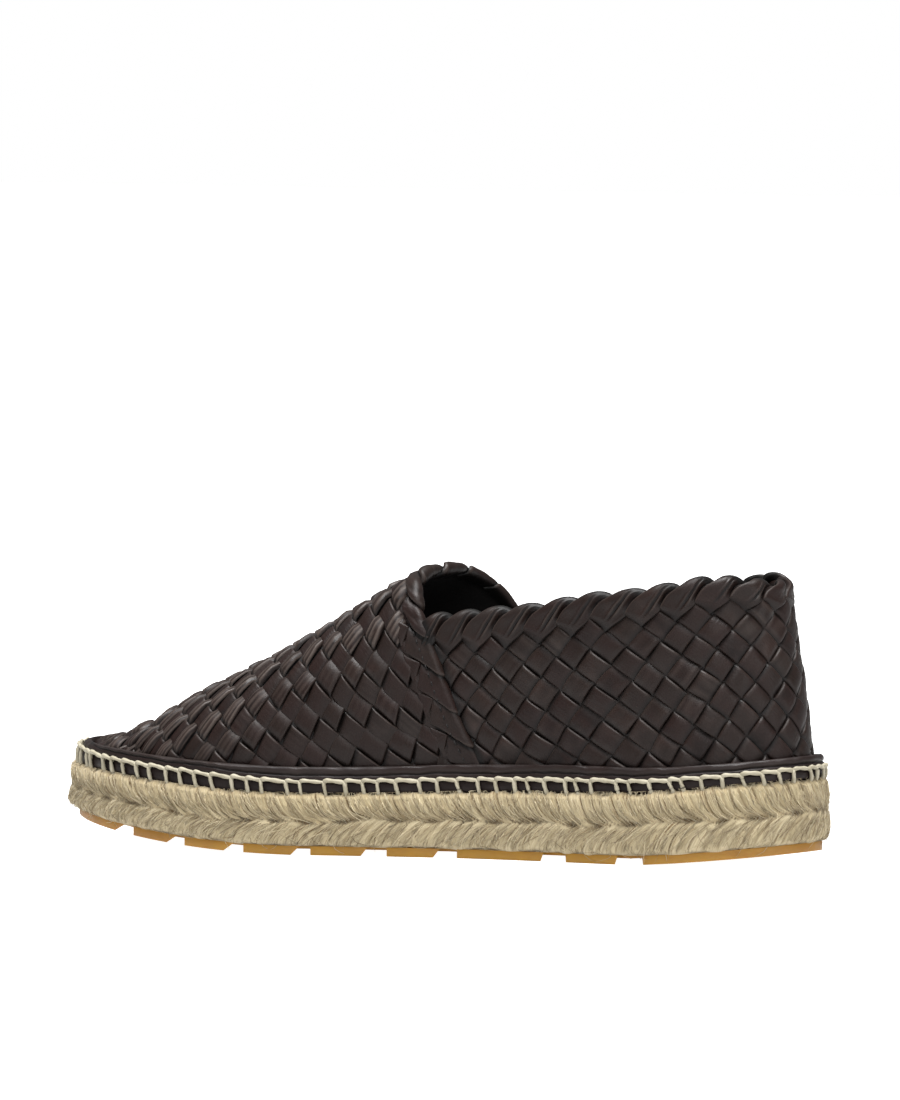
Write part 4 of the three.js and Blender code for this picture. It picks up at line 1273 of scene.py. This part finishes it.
def build_rand():
    """Leather strip round the foot of the upper, folded double along its top edge."""
    rng = np.random.default_rng(16)
    turn = np.arange(RAND_COLUMNS)[:, None] / RAND_COLUMNS
    way = turn * RING_LENGTH
    level = np.concatenate([np.linspace(0, 1, RAND_FACE_ROWS), RAND_BACK_LEVELS])
    back = np.concatenate([np.zeros(RAND_FACE_ROWS), RAND_BACK_INSETS])
    seen = np.arange(len(level)) < RAND_FACE_ROWS
    profile = level / seam_level(ring_point(turn, RAND_INSETS[0])[0])
    inset = np.maximum(np.interp(profile, RAND_LEVELS, RAND_INSETS), 3.0 + 15 * (level - 0.96))
    inset = np.where(seen, inset, back)
    wave = wander(rng, way, 90) * 0.035 + wander(rng, way, 260) * 0.02
    upper = smooth_step(level, 0.45, 0.8) * (level < 1.0)
    pucker = wander(rng, way, 200) * 0.14 * seen
    x, y = ring_point(turn, inset + pucker + rand_lean(turn, level))
    z = seat_top(x) + rand_height(x) * (level + wave * upper)
    tone = np.broadcast_to(np.clip(0.4 + 0.35 * wander(rng, way, 120), 0, 1), inset.shape)
    # Painted highlights on the fold and on a lower ridge, and painted shade along the two creases.
    edge = 0.2 * bell(profile, 0.82, 0.06) + 0.12 * bell(profile, 0.55, 0.04)
    deep = largest(*(bell(profile, crease, 0.02) for crease in RAND_CREASES))
    faces = loop_faces(RAND_COLUMNS, len(level), True, True)[:, ::-1]
    add_piece("rand_strip", stacked(x, y, z), faces, RAND_LEATHER, "rand_leather", ["rand"],
              stacked(way, level * 8), tone=tone, edge=edge, deep=deep)


# Path of one blanket stitch: share of the way from the bar before, level on the rand, distance out
# from its face, and slant of the bar
STITCH_SHARE = [-0.06, 0.02, 0.12, 0.25, 0.42, 0.6, 0.78, 0.9, 0.97, 1.0, 1.0, 1.0, 1.0, 1.0, 1.0]
STITCH_LEVEL = [0.36, 0.44, 0.49, 0.495, 0.48, 0.46, 0.44, 0.425, 0.40, 0.35, 0.27, 0.17, 0.05, -0.07, -0.2]
STITCH_OUT = [0.1, 0.5, 0.75, 0.75, 0.7, 0.7, 0.75, 0.85, 0.95, 0.95, 0.85, 0.75, 0.8, 0.6, -0.4]
STITCH_SLANT = [0, 0, 0, 0, 0, 0, 0, 0, 0.0, 0.1, 0.25, 0.5, 0.8, 1.05, 1.2]


def rand_point(turn, level, out):
    """Point in front of the rand's outer face."""
    inset = np.interp(level, RAND_LEVELS, RAND_INSETS)
    x, y = ring_point(turn, inset - out + rand_lean(turn, np.maximum(level, 0)))
    return stacked(x, y, seat_top(x) + rand_height(x) * np.maximum(level * seam_level(x), level))


def build_blanket_stitch():
    """Cream two-ply thread: a bow along the rand, then a bar down into the jute."""
    rng = np.random.default_rng(17)
    bars = (np.arange(STITCH_COUNT) + rng.uniform(-0.26, 0.26, STITCH_COUNT)) / STITCH_COUNT
    start = np.roll(bars, -1)
    start[-1] += 1.0
    gap = (start - bars)[:, None]
    fine = np.linspace(0, 1, STITCH_RINGS)
    knots = np.linspace(0, 1, len(STITCH_SHARE))
    columns = (STITCH_SHARE, STITCH_LEVEL, STITCH_OUT, STITCH_SLANT)
    share, level, out, lean = (curve_through(knots, column)(fine) for column in columns)
    slack = either_way(rng, 0.02, STITCH_COUNT) * np.sin(math.pi * np.clip(share, 0, 1))
    slant = rng.uniform(0.3, 1.4, (STITCH_COUNT, 1)) / RING_LENGTH
    paths = rand_point(start[:, None] - share * gap - slant * lean, level + slack, out)
    radius = THREAD_RADIUS * (1 + either_way(rng, 0.1, STITCH_COUNT))
    points = tube_points(paths, radius, STITCH_SIDES, 0.13, 1.5)
    faces = tube_faces(STITCH_COUNT, STITCH_RINGS, STITCH_SIDES)
    add_piece("blanket_stitch", points, faces, CREAM_THREAD, "jute")


def build_edge_stitch():
    """Dark dashes of thread that hold the vamp's folded edge."""
    marks = edge_marks(EDGE_STITCH_PITCH)
    t = np.linspace(-0.5, 0.5, EDGE_STITCH_RINGS)
    way = marks[:, None] + t * EDGE_STITCH_LENGTH
    place = edge_along(way) + EDGE_STITCH_PLACE
    paths = vamp.at(place, way, 0.85 - 2.4 * np.abs(t) ** 2 + vamp_lift(place, way))
    points = tube_points(paths, EDGE_STITCH_RADIUS, EDGE_STITCH_SIDES)
    faces = tube_faces(len(marks), EDGE_STITCH_RINGS, EDGE_STITCH_SIDES)
    add_piece("edge_stitch", points, faces, LINING, "woven_leather")


# Jute: inset of its side by the share of its height, and the groove between its rows
BRAID_SHARE = [0.0, 0.05, 0.14, 0.34, 0.42, 0.48, 0.54, 0.64, 0.86, 0.95, 1.0]
BRAID_INSET = [3.2, 1.7, 0.9, 0.7, 0.9, 1.5, 1.0, 0.7, 0.7, 1.1, 2.4]
BRAID_MIDDLE = 0.48
braid_inset = curve_through(BRAID_SHARE, BRAID_INSET)

# Widths of the strands and of the gaps between them: upper and lower row, then their fine strands
STRAND_ROWS = ((2.2, 6.0, 0.3), (2.6, 6.0, 0.26), (0.8, 2.0, 0.18), (0.6, 1.6, 0.18))


def braid_side(turn, share, out):
    """Place on the side of the jute, with its fuller foot at the toe and a tighter side at the heel."""
    x = ring_point(turn, 0.0)[0]
    fuller = 2.6 * smooth_step(x, 100, 138) * (1 - share) ** 5 - 0.9 * smooth_step(-x, 110, 138) * share
    return ring_point(turn, braid_inset(share) - out - fuller)


def braid_height(x, share):
    foot = jute_foot(x) - JUTE_OVERHANG
    return foot + (sole_top(x) - foot) * share


def braid_sweep(share):
    """How far strands have run towards the heel side, from the top or the foot to the groove."""
    upper = np.clip((1 - share) / (1 - BRAID_MIDDLE), 0, 1)
    lower = np.clip(share / BRAID_MIDDLE, 0, 1)
    return np.where(share > BRAID_MIDDLE, 3.8 * upper + 4.6 * upper ** 5, 4.0 * lower + 4.5 * lower ** 3)


def strand_rows(rng, smallest, largest_width):
    """Strands of uneven width round the sole: their ends, a tone for each and how open each gap is."""
    ends = [0.0]
    while ends[-1] < RING_LENGTH:
        ends.append(ends[-1] + rng.uniform(smallest, largest_width))
    ends = np.array(ends[:-1]) * RING_LENGTH / ends[-2]
    tones = rng.uniform(0, 1, len(ends))
    gaps = 0.25 + 0.75 * rng.uniform(0, 1, len(ends)) ** 1.3
    gaps[-1] = gaps[0]
    return ends, tones, gaps


def strand_relief(place, strands, gap_width):
    """Swell of the strands, depth of the gaps between them and tone at places round the sole."""
    ends, tones, gaps = strands
    place = np.mod(place, RING_LENGTH)
    n = np.clip(np.searchsorted(ends, place, side="right") - 1, 0, len(ends) - 2)
    before, after = place - ends[n], ends[n + 1] - place
    t = before / (before + after)
    swell = np.sqrt(np.clip(4 * t * (1 - t), 0, 1))
    cut = np.maximum(gaps[n] * bell(before, 0, gap_width), gaps[n + 1] * bell(after, 0, gap_width))
    return swell, cut, tones[n]


def build_jute():
    """Two braided rows of jute that meet in a dark groove."""
    rng = np.random.default_rng(18)
    turn = np.arange(BRAID_COLUMNS) / BRAID_COLUMNS
    turn, share = np.meshgrid(turn, np.linspace(0, 1, BRAID_ROWS), indexing="ij")
    way = -turn * RING_LENGTH
    above = share > BRAID_MIDDLE
    stir = 0.9 * wander(rng, way, 120) * (share - 0.5) + 0.7 * wander(rng, way, 70)
    place = way - braid_sweep(share) + stir
    layers = []
    for smallest, largest_width, gap_width in STRAND_ROWS:
        layers.append(strand_relief(place, strand_rows(rng, smallest, largest_width), gap_width))
    swell, cut, tone = (np.where(above, top, foot) for top, foot in zip(*layers[:2]))
    small, small_cut, small_tone = (np.where(above, top, foot) for top, foot in zip(*layers[2:]))
    cut = cut * np.where(above, 1.0, 0.6)
    plait = 0.5 + 0.5 * np.cos(2 * math.pi * way / PLAIT_LENGTH + 2.2 * wander(rng, way, 40))
    near_groove = bell(share, BRAID_MIDDLE, 0.07)
    fade = smooth_step(share, 0, 0.08) * (1 - smooth_step(share, 0.95, 1.0))
    out = (0.5 * swell + 0.25 * small - 0.6 * cut - 0.2 * small_cut - 0.45) * fade
    x, y = braid_side(turn, share, out + 0.8 * (1 - plait) * near_groove)
    sway = 0.055 * wander(rng, way, 45) + 0.03 * wander(rng, way, 110)
    sway = sway * bell(share, BRAID_MIDDLE, 0.2)
    ragged = 0.03 * wander(rng, way, 300) * smooth_step(share, 0.9, 1.0)
    hem = 0.022 * wander(rng, way, 160) * (1 - smooth_step(share, 0.0, 0.15))
    z = braid_height(x, np.clip(share + sway + ragged + hem, -0.03, 1.02))
    # Painted shade in the gaps between strands, in the groove between the rows and along the top under the
    # rand.
    gaps = (0.95 * cut + 0.25 * small_cut) * fade
    groove = near_groove ** 2 * (0.12 + 0.8 * plait ** 2)
    dark = largest(gaps, groove, 0.3 * smooth_step(share, 0.9, 0.97))
    # Tone of the strands, raised on the lower row as painted light and lowered on the upper row as painted
    # shade.
    tone = np.clip(0.55 * tone + 0.45 * small_tone, 0, 1) + 0.25 - 0.6 * above
    faces = loop_faces(BRAID_COLUMNS, BRAID_ROWS, True)[:, ::-1]
    lay = stacked(place, share * 20 + 60 * above)
    piece = add_piece("jute_braid", stacked(x, y, z), faces, JUTE_FIBRE, "jute", ["midsole"], lay,
                      tone=tone, groove=np.clip(dark, 0, 1))
    close_ends(piece)


def build_jute_fibres():
    """Loose fibres along the strands, some of them standing off or hanging over the gum."""
    rng = np.random.default_rng(19)
    count = FIBRE_COUNT

    def between(low, high):
        return rng.uniform(low, high, (count, 1))

    t = np.linspace(0, 1, FIBRE_RINGS)
    start = between(0.0, 1.0)
    span = between(0.1, 0.42) * rng.choice([-1, 1], (count, 1))
    share = np.clip(start + span * t, 0.01, 1.03)
    place = between(0, RING_LENGTH)
    loose = 1 + 1.6 * (start < BRAID_MIDDLE)
    curl = rng.normal(0, 0.9, (count, 1)) * loose * t + rng.normal(0, 1.1, (count, 1)) * loose * t * t
    way = place + braid_sweep(share) + curl
    stray = np.where(between(0, 1) < 0.16, between(0.5, 2.2), 0.12)
    out = 0.3 + stray * t * t + between(-0.1, 0.2)
    x, y = braid_side(-way / RING_LENGTH, np.clip(share, 0, 1), out)
    hang = (between(0, 1) < 0.05) * (start < 0.3)
    z = braid_height(x, share) - hang * t * between(1, 3.0)
    radius = between(*FIBRE_RADIUS) * (1 - 0.6 * t)
    points = tube_points(stacked(x, y, np.maximum(z, FIBRE_FLOOR)), radius, FIBRE_SIDES)
    tone = np.repeat(rng.uniform(-1.0, 2.4, count), FIBRE_RINGS * FIBRE_SIDES)
    brown = np.repeat(0.9 * rng.uniform(0, 1, count) ** 3, FIBRE_RINGS * FIBRE_SIDES)
    lay = np.zeros((points.size // 3, 2))
    faces = tube_faces(count, FIBRE_RINGS, FIBRE_SIDES)
    add_piece("jute_fibres", points, faces, JUTE_FIBRE, "jute", [], lay, tone=tone, groove=brown)


# Gum outsole and footbed
def build_outsole():
    """The lugged gum sheet with softened edges."""
    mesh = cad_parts["outsole"].data.copy()
    piece = link(bpy.data.objects.new("gum_outsole", mesh))
    mesh.materials.clear()
    mesh.materials.append(GUM)
    edit_all(piece, lambda: bpy.ops.mesh.remove_doubles(threshold=1e-6),
             lambda: bpy.ops.mesh.dissolve_limited(angle_limit=math.radians(2)))
    apply_modifier(piece, "BEVEL", width=GUM_BEVEL * MM, segments=2, limit_method="ANGLE",
                   angle_limit=math.radians(40))
    make_active(piece)
    bpy.ops.object.shade_smooth_by_angle(angle=math.radians(35))
    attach(piece, "root")
    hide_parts("outsole")


def build_footbed():
    """Footbed with a rounded rim on the jute."""
    turn = np.arange(FOOTBED_COLUMNS)[:, None] / FOOTBED_COLUMNS
    inset = FOOTBED_INSET + np.array(FOOTBED_STEPS)
    x, y = ring_point(turn, inset)
    points = stacked(x, y, seat_top(x) + INSOLE_THICKNESS - np.array(FOOTBED_DROPS))
    faces = loop_faces(FOOTBED_COLUMNS, len(inset), True)[:, ::-1]
    close_ends(add_piece("footbed", points, faces, FOOTBED, "footbed", ["insole"]))


# Stage
def build_stage():
    deselect_all()
    bpy.ops.mesh.primitive_plane_add(size=FLOOR_SIZE)
    floor = bpy.context.object
    floor.name = "floor"
    material, tree, shader = new_material("white floor")
    seen = add_node(tree, "LightPath").outputs["Is Camera Ray"]
    fill(tree, shader, {
        "Base Color": (0.4, 0.4, 0.4, 1),
        "Roughness": 0.8,
        "Emission Color": (1, 1, 1, 1),
        "Emission Strength": remap(tree, seen, 0.0, 1.0, FLOOR_GLOW, 1.0),
    })
    floor.data.materials.append(material)
    world = bpy.data.worlds.new("studio")
    bpy.context.scene.world = world
    world.use_nodes = True
    tree = world.node_tree
    seen = add_node(tree, "LightPath").outputs["Is Camera Ray"]
    strength = remap(tree, seen, 0.0, 1.0, STUDIO_FILL, 1.0)
    fill(tree, tree.nodes["Background"], {"Color": (1, 1, 1, 1), "Strength": strength})
    bpy.context.scene.view_settings.view_transform = "Standard"


def aim(item, towards):
    item.rotation_mode = "QUATERNION"
    item.rotation_quaternion = Vector(towards).to_track_quat("-Z", "Y")


def add_light(name, kind, towards, place=(0, 0, 0), **settings):
    data = bpy.data.lights.new(name, kind)
    for key, value in settings.items():
        setattr(data, key, value)
    light = link(bpy.data.objects.new(name, data))
    light.location = place
    aim(light, towards)


def build_lights():
    add_light("ceiling", "SUN", SUN_TOWARDS, energy=SUN_STRENGTH, angle=math.radians(SUN_SPREAD))
    for name, place, target, (width, height), energy in AREA_LIGHTS:
        add_light(name, "AREA", Vector(target) - Vector(place), place,
                  shape="RECTANGLE", size=width, size_y=height, energy=energy)


def build_camera():
    """Long lens that frames the shoe as the photograph does."""
    turn, rise = math.radians(CAMERA_TURN), math.radians(CAMERA_RISE)
    back = Vector((-math.sin(turn) * math.cos(rise), math.cos(turn) * math.cos(rise), math.sin(rise)))
    right = Vector((-math.cos(turn), -math.sin(turn), 0))
    up = right.cross(-back)
    aside = (IMAGE_WIDTH_PX / 2 - ORIGIN_PX[0]) / PIXELS_PER_MM * MM
    above = (ORIGIN_PX[1] - IMAGE_HEIGHT_PX / 2) / PIXELS_PER_MM * MM
    data = bpy.data.cameras.new("camera")
    data.sensor_width = SENSOR_MM
    data.lens = SENSOR_MM * CAMERA_DISTANCE / (IMAGE_HEIGHT_PX / PIXELS_PER_MM * MM)
    data.clip_end = 100
    camera = link(bpy.data.objects.new("camera", data))
    camera.location = right * aside + up * above + back * CAMERA_DISTANCE
    aim(camera, -back)
    bpy.context.scene.camera = camera


build_quarter_weave()
build_vamp_weave()
build_collar()
build_collar_core()
build_vamp_edge()
build_vamp_folds()
build_edge_stitch()
build_lining()
build_rand()
build_blanket_stitch()
build_jute()
build_jute_fibres()
build_outsole()
build_footbed()
build_stage()
build_lights()
build_camera()
